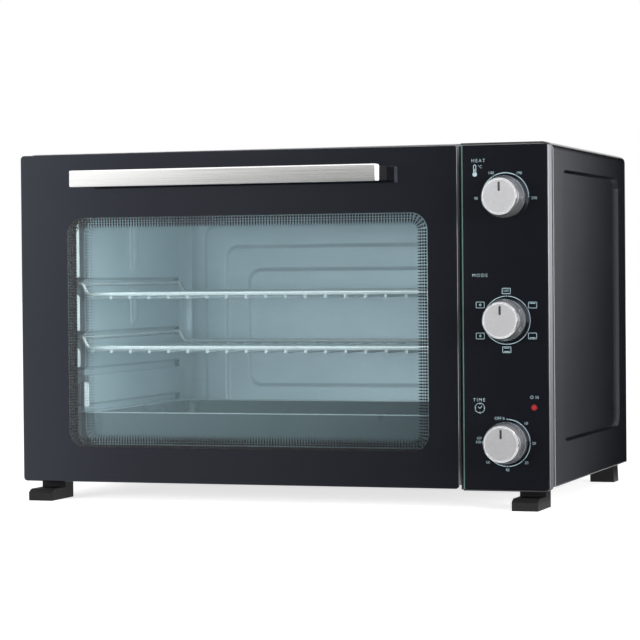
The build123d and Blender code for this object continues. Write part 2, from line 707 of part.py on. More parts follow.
# Control panel: bezel, glass, lamp, the three control units and their screws
with BuildPart() as control_bezel:
    bezel_right = BODY_WIDTH / 2
    bezel_low = glass_bottom - BEZEL_RIM
    bezel_high = glass_top + BEZEL_RIM
    with BuildSketch(facing(glass_front)) as bezel_face:
        with Locations(((panel_left + bezel_right) / 2, (bezel_low + bezel_high) / 2)):
            Rectangle(bezel_right - panel_left, bezel_high - bezel_low)
        fillet(bezel_face.vertices().group_by(Axis.X)[-1], BEZEL_CORNER)
    extrude(amount=-BEZEL_DEPTH)
    with BuildSketch(facing(glass_front)) as glass_pocket:
        with Locations(((panel_left + panel_right) / 2, (glass_bottom + glass_top) / 2)):
            Rectangle(panel_right - panel_left, GLASS_HEIGHT)
        fillet(glass_pocket.vertices().group_by(Axis.X)[-1], GLASS_CORNER)
    extrude(amount=-GLASS_THICKNESS, mode=Mode.SUBTRACT)
    block(
        panel_left + BEZEL_WALL, bezel_right - BEZEL_WALL, bezel_floor, glass_front + BEZEL_DEPTH + SHEET,
        bezel_low + BEZEL_WALL, bezel_high - BEZEL_WALL, mode=Mode.SUBTRACT,
    )
    neck = (panel_left + BEZEL_NECK, bezel_right - BEZEL_NECK, bezel_low + BEZEL_NECK, bezel_high - BEZEL_NECK)
    block(neck[0], neck[1], bezel_floor, frame_front, neck[2], neck[3])
    block(
        neck[0] + BEZEL_WALL, neck[1] - BEZEL_WALL, bezel_floor, frame_front + SHEET,
        neck[2] + BEZEL_WALL, neck[3] - BEZEL_WALL, mode=Mode.SUBTRACT,
    )
    for z in knob_z.values():
        rod_y_axis(knob_x, glass_front, bezel_floor + SHEET, z, SHAFT_HOLE, mode=Mode.SUBTRACT)
    rod_y_axis(lamp_x, glass_front, bezel_floor + SHEET, lamp_z, LAMP_DIAMETER + 2 * FIT, mode=Mode.SUBTRACT)
keep(control_bezel, "control_bezel")

with BuildPart() as control_glass:
    with BuildSketch(facing(glass_front)) as panel_face:
        with Locations(((panel_left + panel_right) / 2, (glass_bottom + glass_top) / 2)):
            Rectangle(panel_right - panel_left - FIT, GLASS_HEIGHT - FIT)
        fillet(panel_face.vertices().group_by(Axis.X)[-1], GLASS_CORNER)
        with Locations(*[(knob_x, z) for z in knob_z.values()]):
            Circle(SHAFT_HOLE / 2, mode=Mode.SUBTRACT)
        with Locations((lamp_x, lamp_z)):
            Circle(LAMP_DIAMETER / 2 + FIT, mode=Mode.SUBTRACT)
    extrude(amount=-GLASS_THICKNESS)
    chamfer(control_glass.faces().sort_by(Axis.Y)[0].outer_wire().edges(), GLASS_EDGE)
keep(control_glass, "control_glass")

with BuildPart() as power_lamp_lens:
    rod_y_axis(lamp_x, glass_front - LAMP_PROUD, bezel_floor + SHEET, lamp_z, LAMP_DIAMETER)
    fillet(power_lamp_lens.faces().sort_by(Axis.Y)[0].edges(), LAMP_ROUND)
keep(power_lamp_lens, "power_lamp_lens")

with BuildPart() as power_lamp_holder:
    rod_y_axis(lamp_x, bezel_floor, frame_front - 2 * SHEET, lamp_z, LAMP_FLANGE)
    rod_y_axis(
        lamp_x, glass_front, bezel_floor + SHEET, lamp_z, LAMP_DIAMETER + 2 * RUN_FIT, mode=Mode.SUBTRACT,
    )
keep(power_lamp_holder, "power_lamp_holder")

shaft_inner = frame_back + UNIT_FLANGE + BUSH_LENGTH
bush_front = frame_front - BUSH_LENGTH / 2
for unit, (unit_width, unit_depth, unit_tall) in UNIT_SIZES.items():
    z = knob_z[dial_of_unit[unit]]
    ear_half = unit_tall / 2 + UNIT_EAR
    with BuildPart() as control_unit:
        block(
            knob_x - unit_width / 2, knob_x + unit_width / 2,
            frame_back, frame_back + unit_depth, z - unit_tall / 2, z + unit_tall / 2,
        )
        block(
            knob_x - SCREW_HEAD, knob_x + SCREW_HEAD,
            frame_back, frame_back + UNIT_FLANGE, z - ear_half, z + ear_half,
        )
        rod_y_axis(knob_x, bush_front, frame_back, z, BUSH_DIAMETER)
        rod_y_axis(
            knob_x, bush_front - SHEET, shaft_inner + FIT,
            z, SHAFT_DIAMETER + 2 * RUN_FIT, mode=Mode.SUBTRACT,
        )
        for side in (-1, 1):
            rod_y_axis(
                knob_x, frame_back - SHEET, frame_back + UNIT_FLANGE + SHEET,
                z + side * (unit_tall + UNIT_EAR) / 2, 2 * screw_thread, mode=Mode.SUBTRACT,
            )
    keep(control_unit, unit)


def pan_screw(x, y_seat, z, towards):
    """A pan-head screw along Y whose head seats at y_seat and whose shank points towards +1 or -1."""
    rod_y_axis(x, y_seat - towards * SCREW_HEAD_TALL, y_seat, z, SCREW_HEAD)
    rod_y_axis(x, y_seat - towards * SCREW_HEAD_TALL / 2, y_seat + towards * SCREW_GRIP, z, SCREW_DIAMETER)


with BuildPart() as front_screws:
    for unit, (unit_width, unit_depth, unit_tall) in UNIT_SIZES.items():
        for side in (-1, 1):
            pan_screw(knob_x, frame_front, knob_z[dial_of_unit[unit]] + side * (unit_tall + UNIT_EAR) / 2, 1)
    for x in hinge_x:
        pan_screw(x, frame_front - HINGE_PLATE_THICK, hinge_screw_z, 1)
keep(front_screws, "front_screws")

with BuildPart() as casing_screws:
    for side in (-1, 1):
        for z in tab_z:
            pan_screw(side * tab_x, housing_rear, z, -1)
keep(casing_screws, "casing_screws")


def turned(dial):
    """The axis that a knob turns about."""
    return Axis((knob_x, glass_front, knob_z[dial]), (0, 1, 0))


# Knobs: chromed body with a hollow back, satin cap with a pointer groove, and the unit's shaft
cap_seat = -KNOB_REACH + CAP_THICK - CAP_SINK
cap_radius = KNOB_CROWN / 2 - KNOB_RIM
flat_drop = SHAFT_DIAMETER / 2 - SHAFT_FLAT
socket_end = -KNOB_GAP - SOCKET_DEPTH
for dial, z in knob_z.items():
    centre = Plane((knob_x, glass_front, z))
    with BuildPart() as knob:
        with BuildSketch(centre):
            with BuildLine():
                skirt_top = (KNOB_SKIRT / 2, -KNOB_GAP - KNOB_SKIRT_EDGE)
                crown_low = (KNOB_CROWN / 2, -KNOB_REACH + KNOB_CROWN_EDGE)
                crown_top = (KNOB_CROWN / 2 - KNOB_RIM / 2, -KNOB_REACH)
                Line((0, -KNOB_GAP), (KNOB_SKIRT / 2, -KNOB_GAP))
                Line((KNOB_SKIRT / 2, -KNOB_GAP), skirt_top)
                RadiusArc(skirt_top, crown_low, KNOB_SKIRT)
                Line(crown_low, (KNOB_CROWN / 2, -KNOB_REACH + KNOB_RIM / 2))
                Line((KNOB_CROWN / 2, -KNOB_REACH + KNOB_RIM / 2), crown_top)
                Line(crown_top, (cap_radius, -KNOB_REACH))
                Line((cap_radius, -KNOB_REACH), (cap_radius, cap_seat))
                Line((cap_radius, cap_seat), (0, cap_seat))
                Line((0, cap_seat), (0, -KNOB_GAP))
            make_face()
        revolve(axis=turned(dial))
        hollow_y = (glass_front - KNOB_GAP - KNOB_HOLLOW_DEPTH, glass_front - KNOB_GAP)
        with BuildSketch(facing(hollow_y[1])):
            with Locations((knob_x, z)):
                Circle(KNOB_HOLLOW / 2)
                Circle(KNOB_BOSS / 2, mode=Mode.SUBTRACT)
        extrude(amount=KNOB_HOLLOW_DEPTH, mode=Mode.SUBTRACT)
        with BuildSketch(facing(glass_front - KNOB_GAP)):
            with Locations((knob_x, z)):
                Circle(SHAFT_DIAMETER / 2 + RUN_FIT)
            with Locations((knob_x, z + flat_drop + RUN_FIT + SHAFT_DIAMETER / 2)):
                Rectangle(2 * SHAFT_DIAMETER, SHAFT_DIAMETER, mode=Mode.SUBTRACT)
        extrude(amount=SOCKET_DEPTH, mode=Mode.SUBTRACT)
    keep(knob, f"{dial}_knob")

    with BuildPart() as knob_cap:
        rod_y_axis(
            knob_x, glass_front + cap_seat - CAP_THICK, glass_front + cap_seat, z, 2 * (cap_radius - RUN_FIT),
        )
        pointer_high = z + cap_radius - POINTER_EDGE
        block(
            knob_x - POINTER_WIDTH / 2, knob_x + POINTER_WIDTH / 2,
            glass_front + cap_seat - CAP_THICK - SHEET, glass_front + cap_seat - CAP_THICK + POINTER_DEPTH,
            pointer_high - POINTER_LENGTH, pointer_high, mode=Mode.SUBTRACT,
        )
    keep(knob_cap, f"{dial}_knob_cap")

    with BuildPart() as shaft:
        shaft_tip = glass_front + socket_end + FIT
        rod_y_axis(knob_x, shaft_tip, shaft_inner, z, SHAFT_DIAMETER)
        block(
            knob_x - SHAFT_DIAMETER, knob_x + SHAFT_DIAMETER, shaft_tip - SHEET, glass_front - KNOB_GAP,
            z + flat_drop, z + SHAFT_DIAMETER, mode=Mode.SUBTRACT,
        )
    keep(shaft, f"{dial}_shaft")

# Door: glass, frame behind it with a second pane in its sight opening, handle on two brackets
with BuildPart() as door_glass:
    with BuildSketch(facing(glass_front)):
        with Locations((door_mid, (glass_bottom + glass_top) / 2)):
            RectangleRounded(DOOR_WIDTH, GLASS_HEIGHT, GLASS_CORNER)
        with Locations(*[(x, handle_z) for x in bracket_x]):
            Circle(screw_hole, mode=Mode.SUBTRACT)
    extrude(amount=-GLASS_THICKNESS)
    chamfer(door_glass.faces().sort_by(Axis.Y)[0].outer_wire().edges(), GLASS_EDGE)
keep(door_glass, "door_glass")

sight_left = cavity_left - SIGHT_MARGIN
sight_right = cavity_right + SIGHT_MARGIN
sight_low = glass_bottom + SIGHT_BOTTOM
sight_high = sight_low + SIGHT_HEIGHT
pane_back = door_back - SHEET
cheek_out = EAR_THICK / 2 + EAR_SIDE_GAP + CHEEK_THICK
with BuildPart() as door_frame:
    upright_plate(
        door_frame_left, door_frame_right, door_frame_bottom, door_frame_top,
        GLASS_CORNER, glass_back, door_back,
    )
    upright_plate(
        door_frame_left + SHEET, door_frame_right - SHEET, door_frame_bottom + SHEET, door_frame_top - SHEET,
        GLASS_CORNER - SHEET, glass_back, door_back - SHEET, mode=Mode.SUBTRACT,
    )
    upright_plate(
        sight_left - SHEET, sight_right + SHEET, sight_low - SHEET, sight_high + SHEET,
        SIGHT_CORNER + SHEET, glass_back, door_back,
    )
    upright_plate(
        sight_left, sight_right, sight_low, sight_high, SIGHT_CORNER,
        glass_back - SHEET, pane_back, mode=Mode.SUBTRACT,
    )
    upright_plate(
        sight_left + SIGHT_LIP, sight_right - SIGHT_LIP, sight_low + SIGHT_LIP, sight_high - SIGHT_LIP,
        SIGHT_CORNER - SIGHT_LIP, glass_back - SHEET, door_back + SHEET, mode=Mode.SUBTRACT,
    )
    for x in hinge_x:
        notch = max(cheek_out, HINGE_PLATE_WIDTH / 2) + NOTCH_ROOM
        block(
            x - notch, x + notch, pivot_y - CHEEK_NOSE - NOTCH_ROOM, door_back + SHEET,
            door_frame_bottom - SHEET, pivot_z + CHEEK_NOSE + NOTCH_ROOM, mode=Mode.SUBTRACT,
        )
        rod_y_axis(
            x, door_back - 2 * SHEET, door_back + SHEET,
            hinge_screw_z, SCREW_HEAD + 2 * HEAD_ROOM, mode=Mode.SUBTRACT,
        )
keep(door_frame, "door_frame")

with BuildPart() as door_inner_glass:
    upright_plate(
        sight_left + FIT, sight_right - FIT, sight_low + FIT, sight_high - FIT, SIGHT_CORNER - FIT,
        pane_back - INNER_GLASS, pane_back,
    )
keep(door_inner_glass, "door_inner_glass")

with BuildPart() as handle_bar:
    block(
        door_mid - HANDLE_LENGTH / 2, door_mid + HANDLE_LENGTH / 2,
        handle_front, handle_back, handle_z - HANDLE_TALL / 2, handle_z + HANDLE_TALL / 2,
    )
    fillet(handle_bar.faces().sort_by(Axis.Y)[0].edges(), HANDLE_EDGE)
    block(
        door_mid - HANDLE_LENGTH / 2 + HANDLE_WALL, door_mid + HANDLE_LENGTH / 2 - HANDLE_WALL,
        handle_front + HANDLE_EDGE, handle_back + SHEET,
        handle_z - HANDLE_TALL / 2 + HANDLE_WALL, handle_z + HANDLE_TALL / 2 - HANDLE_WALL, mode=Mode.SUBTRACT,
    )
keep(handle_bar, "handle_bar")

plug_half = HANDLE_TALL / 2 - HANDLE_WALL - RUN_FIT
for side_name, x, outward in zip(("left", "right"), bracket_x, (-1, 1)):
    with BuildPart() as handle_bracket:
        block(
            x - BRACKET_WIDTH / 2, x + BRACKET_WIDTH / 2, handle_back, glass_front,
            handle_z - BRACKET_TALL / 2, handle_z + BRACKET_TALL / 2,
        )
        fillet(handle_bracket.edges().filter_by(Axis.Y), BRACKET_EDGE)
        end_x = door_mid + outward * (HANDLE_LENGTH / 2 - HANDLE_WALL - RUN_FIT)
        block(
            min(end_x, x - outward * BRACKET_WIDTH / 2), max(end_x, x - outward * BRACKET_WIDTH / 2),
            handle_back - BRACKET_PLUG, handle_back, handle_z - plug_half, handle_z + plug_half,
        )
        rod_y_axis(x, handle_back, glass_front + SHEET, handle_z, 2 * screw_thread, mode=Mode.SUBTRACT)
    keep(handle_bracket, f"{side_name}_handle_bracket")

with BuildPart() as handle_screws:
    for x in bracket_x:
        rod_y_axis(x, glass_back, glass_back + SCREW_HEAD_TALL, handle_z, SCREW_HEAD)
        rod_y_axis(x, glass_front - 2 * SCREW_GRIP, glass_back + SCREW_HEAD_TALL / 2, handle_z, SCREW_DIAMETER)
keep(handle_screws, "handle_screws")

# Door hinges: an ear on the frame, two cheeks and a pin on the door
with BuildPart() as hinge_brackets:
    plate_low = pivot_z - EAR_NOSE
    for x in hinge_x:
        block(
            x - HINGE_PLATE_WIDTH / 2, x + HINGE_PLATE_WIDTH / 2,
            frame_front - HINGE_PLATE_THICK, frame_front, plate_low, plate_low + HINGE_PLATE_TALL,
        )
        block(
            x - EAR_THICK / 2, x + EAR_THICK / 2, pivot_y, frame_front - HINGE_PLATE_THICK / 2,
            pivot_z - EAR_NOSE, pivot_z + EAR_NOSE,
        )
        rod_x(x - EAR_THICK / 2, x + EAR_THICK / 2, pivot_y, pivot_z, 2 * EAR_NOSE)
        rod_x(x - EAR_THICK, x + EAR_THICK, pivot_y, pivot_z, PIN_DIAMETER + 2 * RUN_FIT, mode=Mode.SUBTRACT)
        rod_y_axis(
            x, frame_front - 2 * HINGE_PLATE_THICK, frame_front + SHEET, hinge_screw_z,
            2 * screw_hole, mode=Mode.SUBTRACT,
        )
keep(hinge_brackets, "hinge_brackets")

with BuildPart() as hinge_knuckles:
    root_low = pivot_z + CHEEK_NOSE + NOTCH_ROOM
    root_high = pivot_z + KNUCKLE_RISE
    root_back = pivot_y + CHEEK_NOSE
    for x in hinge_x:
        block(x - cheek_out, x + cheek_out, glass_back, glass_back + SHEET, pivot_z + EAR_NOSE + FIT, root_high)
        for side in (-1, 1):
            cheek = (x + side * (cheek_out - CHEEK_THICK), x + side * cheek_out)
            block(*cheek, glass_back, pivot_y, pivot_z - FIT, root_high)
            rod_x(*cheek, pivot_y, pivot_z, 2 * CHEEK_NOSE)
        rod_x(
            x - 2 * cheek_out, x + 2 * cheek_out, pivot_y, pivot_z, PIN_DIAMETER + RUN_FIT, mode=Mode.SUBTRACT,
        )
keep(hinge_knuckles, "hinge_knuckles")

with BuildPart() as hinge_pins:
    for x in hinge_x:
        rod_x(x - cheek_out - SHEET, x + cheek_out + SHEET, pivot_y, pivot_z, PIN_DIAMETER)
keep(hinge_pins, "hinge_pins")

# Racks: a bent frame whose raised sides run in the grooves, butt-joined to straight bars front and rear,
# with cross wires welded below them
rack_front = frame_back + RACK_SETBACK
rack_rear = rack_front + RACK_DEPTH
side_rod = GROOVE_DEPTH - SLIDE_GAP - RACK_BAR / 2
rack_left = cavity_left - side_rod
rack_right = cavity_right + side_rod
rack_mid_y = (rack_front + rack_rear) / 2
rack_slope = atan2(RACK_DROP, RACK_LEAN)
rack_turn = SLIDE_GAP + RACK_TIGHT_BEND * tan(rack_slope / 2)
rack_joint = rack_turn + RACK_LEAN + RACK_BEND / 2
wire_drop = (RACK_BAR + RACK_WIRE) / 2 - WELD
rack_bends = [RACK_TIGHT_BEND, RACK_TIGHT_BEND, RACK_BEND, RACK_BEND, RACK_TIGHT_BEND, RACK_TIGHT_BEND]
for rack, ledge in (("lower_rack", ledges[2]), ("upper_rack", ledges[3])):
    side_z = ledge + SLIDE_GAP + RACK_BAR / 2
    bar_z = side_z - RACK_DROP
    with BuildPart() as rack_frame:
        for bar_y in (rack_front, rack_rear):
            with BuildLine() as run:
                FilletPolyline(
                    (rack_left, rack_mid_y, side_z),
                    (rack_left, bar_y, side_z),
                    (cavity_left + rack_turn, bar_y, side_z),
                    (cavity_left + rack_turn + RACK_LEAN, bar_y, bar_z),
                    (cavity_right - rack_turn - RACK_LEAN, bar_y, bar_z),
                    (cavity_right - rack_turn, bar_y, side_z),
                    (rack_right, bar_y, side_z),
                    (rack_right, rack_mid_y, side_z),
                    radius=rack_bends,
                )
            with BuildSketch(Plane(run.line @ 0, z_dir=run.line % 0)):
                Circle(RACK_BAR / 2)
            sweep(path=run.line)
        for joint_x in (cavity_left + rack_joint, cavity_right - rack_joint):
            split(bisect_by=Plane.YZ.offset(joint_x), keep=Keep.BOTH)
    keep(rack_frame, f"{rack}_frame")

    with BuildPart() as rack_wires:
        for number in range(WIRE_COUNT):
            wire_x = cavity_mid + (number - (WIRE_COUNT - 1) / 2) * WIRE_PITCH
            rod_y_axis(
                wire_x, rack_front - RACK_BAR / 2, rack_rear + RACK_BAR / 2, bar_z - wire_drop, RACK_WIRE,
            )
    keep(rack_wires, f"{rack}_wires")

# Baking tray on the lowest rail, and the crumb tray on the cavity floor
tray_front = frame_back + TRAY_SETBACK
tray_rear = tray_front + TRAY_LENGTH
tray_mid_y = (tray_front + tray_rear) / 2
rim_low = ledges[0] + SLIDE_GAP
rim_top = rim_low + SHEET
rim_reach = GROOVE_DEPTH - SLIDE_GAP
pan_width = CAVITY_WIDTH - 2 * TRAY_SIDE_GAP
pan_length = TRAY_LENGTH - 2 * TRAY_END_RIM
with BuildPart() as baking_tray:
    mouth = Plane((cavity_mid, tray_mid_y, rim_top), z_dir=(0, 0, -1))
    with BuildSketch(mouth):
        RectangleRounded(CAVITY_WIDTH + 2 * rim_reach, TRAY_LENGTH, TRAY_END_RIM)
    extrude(amount=SHEET)
    with BuildSketch(mouth):
        RectangleRounded(pan_width, pan_length, TRAY_CORNER)
    extrude(amount=TRAY_DEPTH, taper=TRAY_TAPER)
    with BuildSketch(mouth):
        RectangleRounded(pan_width - 2 * SHEET, pan_length - 2 * SHEET, TRAY_CORNER - SHEET)
    extrude(amount=TRAY_DEPTH - SHEET, taper=TRAY_TAPER, mode=Mode.SUBTRACT)
keep(baking_tray, "baking_tray")

with BuildPart() as crumb_tray:
    crumb_low = cavity_floor + SLIDE_GAP
    crumb_high = crumb_low + CRUMB_HEIGHT
    crumb_side = MOUTH_LIP + MOUTH_CORNER
    crumb_x = (cavity_left + crumb_side, cavity_right - crumb_side)
    crumb_y = (frame_back + CRUMB_MARGIN, cavity_back - CAVITY_CORNER)
    block(*crumb_x, *crumb_y, crumb_low, crumb_high)
    block(
        crumb_x[0] + SHEET, crumb_x[1] - SHEET, crumb_y[0] + SHEET, crumb_y[1] - SHEET,
        crumb_low + SHEET, crumb_high + SHEET, mode=Mode.SUBTRACT,
    )
keep(crumb_tray, "crumb_tray")


def foot_hole(x, y):
    """Screw hole through a foot, with a deep seat for the head below."""
    seat = housing_bottom - SCREW_GRIP
    rod_up(x, y, -SHEET, housing_bottom + SHEET, 2 * screw_hole, mode=Mode.SUBTRACT)
    rod_up(x, y, -SHEET, seat, SCREW_HEAD + 2 * FIT, mode=Mode.SUBTRACT)


# Feet: the front ones reach forward in a low toe under the door, the rear ones lean back
for side_name, side in (("left", -1), ("right", 1)):
    x = side * foot_x
    with BuildPart() as front_foot:
        toe_tip = glass_front - TOE_REACH
        with BuildSketch(Plane.YZ.offset(x - FOOT_WIDTH / 2)):
            with BuildLine():
                Polyline(
                    (toe_tip, 0),
                    (front_foot_back, 0),
                    (front_foot_back, housing_bottom),
                    (front_foot_front, housing_bottom),
                    (front_foot_front, TOE_HEIGHT),
                    (toe_tip + TOE_SLOPE, TOE_HEIGHT),
                    (toe_tip, TOE_HEIGHT - TOE_SLOPE * tan(radians(PRESS_SLOPE)) / 2),
                    close=True,
                )
            make_face()
        extrude(amount=FOOT_WIDTH)
        fillet(front_foot.edges().filter_by(Axis.Z).group_by(Axis.Y)[0], FOOT_EDGE)
        foot_hole(x, foot_screw_y[0])
    keep(front_foot, f"front_{side_name}_foot")

    with BuildPart() as rear_foot:
        with BuildSketch(Plane.YZ.offset(x - FOOT_WIDTH / 2)):
            with BuildLine():
                Polyline(
                    (rear_foot_front + REAR_FOOT_LEAN, 0),
                    (rear_foot_back + REAR_FOOT_REACH, 0),
                    (rear_foot_back, housing_bottom),
                    (rear_foot_front, housing_bottom),
                    close=True,
                )
            make_face()
        extrude(amount=FOOT_WIDTH)
        foot_hole(x, foot_screw_y[1])
    keep(rear_foot, f"rear_{side_name}_foot")

with BuildPart() as foot_screws:
    seat = housing_bottom - SCREW_GRIP
    for side in (-1, 1):
        for y in foot_screw_y:
            rod_up(side * foot_x, y, seat - SCREW_HEAD_TALL, seat, SCREW_HEAD)
            rod_up(side * foot_x, y, seat - SCREW_HEAD_TALL / 2, base_top + 2 * SHEET, SCREW_DIAMETER)
keep(foot_screws, "foot_screws")

# Electrical fittings in the space beside the cavity
with BuildPart() as cord_gland:
    rod_y_axis(gland_x, housing_rear - SCREW_GRIP, housing_rear + GLAND_REACH, gland_z, GLAND_NECK)
    rod_y_axis(gland_x, housing_rear, housing_rear + 2 * SHEET, gland_z, GLAND_FLANGE)
    rod_y_axis(
        gland_x, housing_rear - 2 * SCREW_GRIP, housing_rear + 2 * GLAND_REACH, gland_z, GLAND_BORE,
        mode=Mode.SUBTRACT,
    )
keep(cord_gland, "cord_gland")

block_width, block_depth, block_tall = TERMINAL_BLOCK
block_rear = housing_rear - TERMINAL_SETBACK
with BuildPart() as terminal_block:
    block(
        gland_x - block_width / 2, gland_x + block_width / 2,
        block_rear - block_depth, block_rear, base_top, base_top + block_tall,
    )
    fillet(terminal_block.edges().filter_by(Axis.Z), 2 * SHEET)
keep(terminal_block, "terminal_block")

with BuildPart() as thermal_cutout:
    rod_x(wall_out[1], wall_out[1] + CUTOUT_TALL, cutout_y, fan_z, CUTOUT_DIAMETER)
    rod_x(wall_out[1], wall_out[1] + SHEET, cutout_y, fan_z, CUTOUT_DIAMETER + 2 * FAN_DISH_FLANGE)
keep(thermal_cutout, "thermal_cutout")

with BuildPart() as wiring_harness:
    riser_y = frame_back + HARNESS_SETBACK
    run_z = base_top + block_tall / 2
    with BuildLine() as route:
        FilletPolyline(
            (gland_x, block_rear - block_depth, run_z),
            (gland_x, riser_y, run_z),
            (gland_x, riser_y, knob_z["temperature"] + HARNESS_DIAMETER),
            radius=HARNESS_BEND,
        )
    with BuildSketch(Plane(route.line @ 0, z_dir=route.line % 0)):
        Circle(HARNESS_DIAMETER / 2)
    sweep(path=route.line)
    for unit, (unit_width, unit_depth, unit_tall) in UNIT_SIZES.items():
        rod_y_axis(gland_x, frame_back + unit_depth, riser_y, knob_z[dial_of_unit[unit]], HARNESS_BRANCH)
keep(wiring_harness, "wiring_harness")
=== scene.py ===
import json
import math

import bmesh
import bpy
from mathutils import Matrix, Vector


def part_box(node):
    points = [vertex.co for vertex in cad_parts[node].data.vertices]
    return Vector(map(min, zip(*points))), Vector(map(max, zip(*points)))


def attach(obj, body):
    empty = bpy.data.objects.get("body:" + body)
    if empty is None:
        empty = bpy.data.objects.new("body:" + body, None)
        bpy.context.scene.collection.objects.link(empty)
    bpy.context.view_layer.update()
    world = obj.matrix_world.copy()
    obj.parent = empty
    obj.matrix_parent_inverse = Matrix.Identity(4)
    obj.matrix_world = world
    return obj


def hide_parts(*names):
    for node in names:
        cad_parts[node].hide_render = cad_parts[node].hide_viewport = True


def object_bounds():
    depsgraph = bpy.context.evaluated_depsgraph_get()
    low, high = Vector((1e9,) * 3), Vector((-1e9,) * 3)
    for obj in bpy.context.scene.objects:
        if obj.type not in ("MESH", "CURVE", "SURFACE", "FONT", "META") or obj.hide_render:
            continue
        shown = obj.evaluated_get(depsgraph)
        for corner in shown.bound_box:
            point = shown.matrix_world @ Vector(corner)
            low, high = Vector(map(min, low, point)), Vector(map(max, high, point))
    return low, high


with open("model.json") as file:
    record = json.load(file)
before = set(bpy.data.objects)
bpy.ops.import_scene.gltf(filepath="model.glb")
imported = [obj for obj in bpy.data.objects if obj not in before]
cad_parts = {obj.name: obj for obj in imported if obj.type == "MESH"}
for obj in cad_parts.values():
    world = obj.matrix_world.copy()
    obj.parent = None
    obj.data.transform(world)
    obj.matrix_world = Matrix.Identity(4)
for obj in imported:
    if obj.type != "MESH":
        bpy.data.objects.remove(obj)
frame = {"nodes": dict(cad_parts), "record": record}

cad_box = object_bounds()

# The scene is in metres: a size in mm is multiplied by MM here or where it is used
MM = 0.001

# The door's clear window, in the plane of the glass, and the black dots along its edge
WINDOW_X = (-0.2335, 0.1620)
WINDOW_Z = (0.0567, 0.2983)
WINDOW_CORNER = 0.018
DOT_SIDES = 8
DOT_CORNER_STEPS = 24
DOT_PITCH = 3.05
DOT_ROWS = (2.1, 4.8, 7.3)
DOT_SIZES = (2.5, 2.2, 2.0)
DASH_ROW = 9.8
DASH_LENGTH = 2.9
DASH_WIDTH = 1.4
PRINT_THICKNESS = 0.04 * MM

# Ground edges of the front glasses, paler with a painted highlight: beside the gap between them, over
# green-tinted glass, and on top, widening to the right
DOOR_SIDE_EDGE = 0.4 * MM
PANEL_SIDE_EDGE = 1.35 * MM
TOP_EDGE_HIGHLIGHT = 1.7 * MM
TOP_HIGHLIGHT_RUN = (-0.1, 0.19)
TOP_HIGHLIGHT_SHARE = (0.05, 0.5)
GLASS_FACE = 2.0 * MM

# Inner faces of the oven's side walls
OVEN_X = (-0.234, 0.165)

# Stretches over which a finish changes: painted shade at the hem of the oven's sheets, painted highlights
# on the casing's lips, painted shade at a lug's bend, painted shade at the lamp's rim
HEM_SHADE_SPAN = (14.0 * MM, 20.0 * MM)
HEM_SHADE = 0.7
FRONT_LIP_HIGHLIGHT = (0.8 * MM, 2.6 * MM)
LOW_LIP_HIGHLIGHT = (0.4 * MM, 1.4 * MM)
LUG_BEND_SHADE = (3.2 * MM, 4.2 * MM)
LENS_RIM_SHADE = (1.2 * MM, 3.9 * MM)

# Painted highlights on the edges of the handle bar, the knob caps, the baking tray and the bezel
HANDLE_TIP_HIGHLIGHT = 0.5 * MM
KNOB_RIM_HIGHLIGHT = 0.6 * MM
TRAY_RIM_HIGHLIGHT = 1.0 * MM
BEZEL_EDGE_HIGHLIGHT = 0.8 * MM

# Bare band of the door frame's sheet: from the inner glass's sides outwards and inwards, and from its ends
BARE_OUT = -1.2 * MM
BARE_IN = 6.0 * MM
BARE_END = 4.0 * MM

DIALS = ("temperature", "function", "timer")
QUARTER_STEPS = 8

door_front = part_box("door_glass")[0].y
panel_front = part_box("control_glass")[0].y


class Value:
    """A socket in a finish's tree. Sums on it add Math nodes."""

    def __init__(self, finish, socket):
        self.finish = finish
        self.socket = socket

    def math(self, operation, *others, flip=False):
        terms = (*others, self) if flip else (self, *others)
        return self.finish.node("ShaderNodeMath", {"operation": operation}, dict(enumerate(terms)))

    def __add__(self, other):
        return self.math("ADD", other)

    def __sub__(self, other):
        return self.math("SUBTRACT", other)

    def __rsub__(self, other):
        return self.math("SUBTRACT", other, flip=True)

    def __mul__(self, other):
        return self.math("MULTIPLY", other)

    def __truediv__(self, other):
        return self.math("DIVIDE", other)

    def __rtruediv__(self, other):
        return self.math("DIVIDE", other, flip=True)

    def __pow__(self, other):
        return self.math("POWER", other)

    def __abs__(self):
        return self.math("ABSOLUTE")

    __radd__ = __add__
    __rmul__ = __mul__

    def least(self, other):
        return self.math("MINIMUM", other)

    def most(self, other):
        return self.math("MAXIMUM", other)

    def over(self, limit):
        return self.math("GREATER_THAN", limit)

    def ease(self, low, high, start=0.0, end=1.0):
        """Smooth climb from start to end as the value goes from low to high."""
        settings = {"interpolation_type": "SMOOTHSTEP"}
        range_ends = {0: self, 1: low, 2: high, 3: start, 4: end}
        return self.finish.node("ShaderNodeMapRange", settings, range_ends)


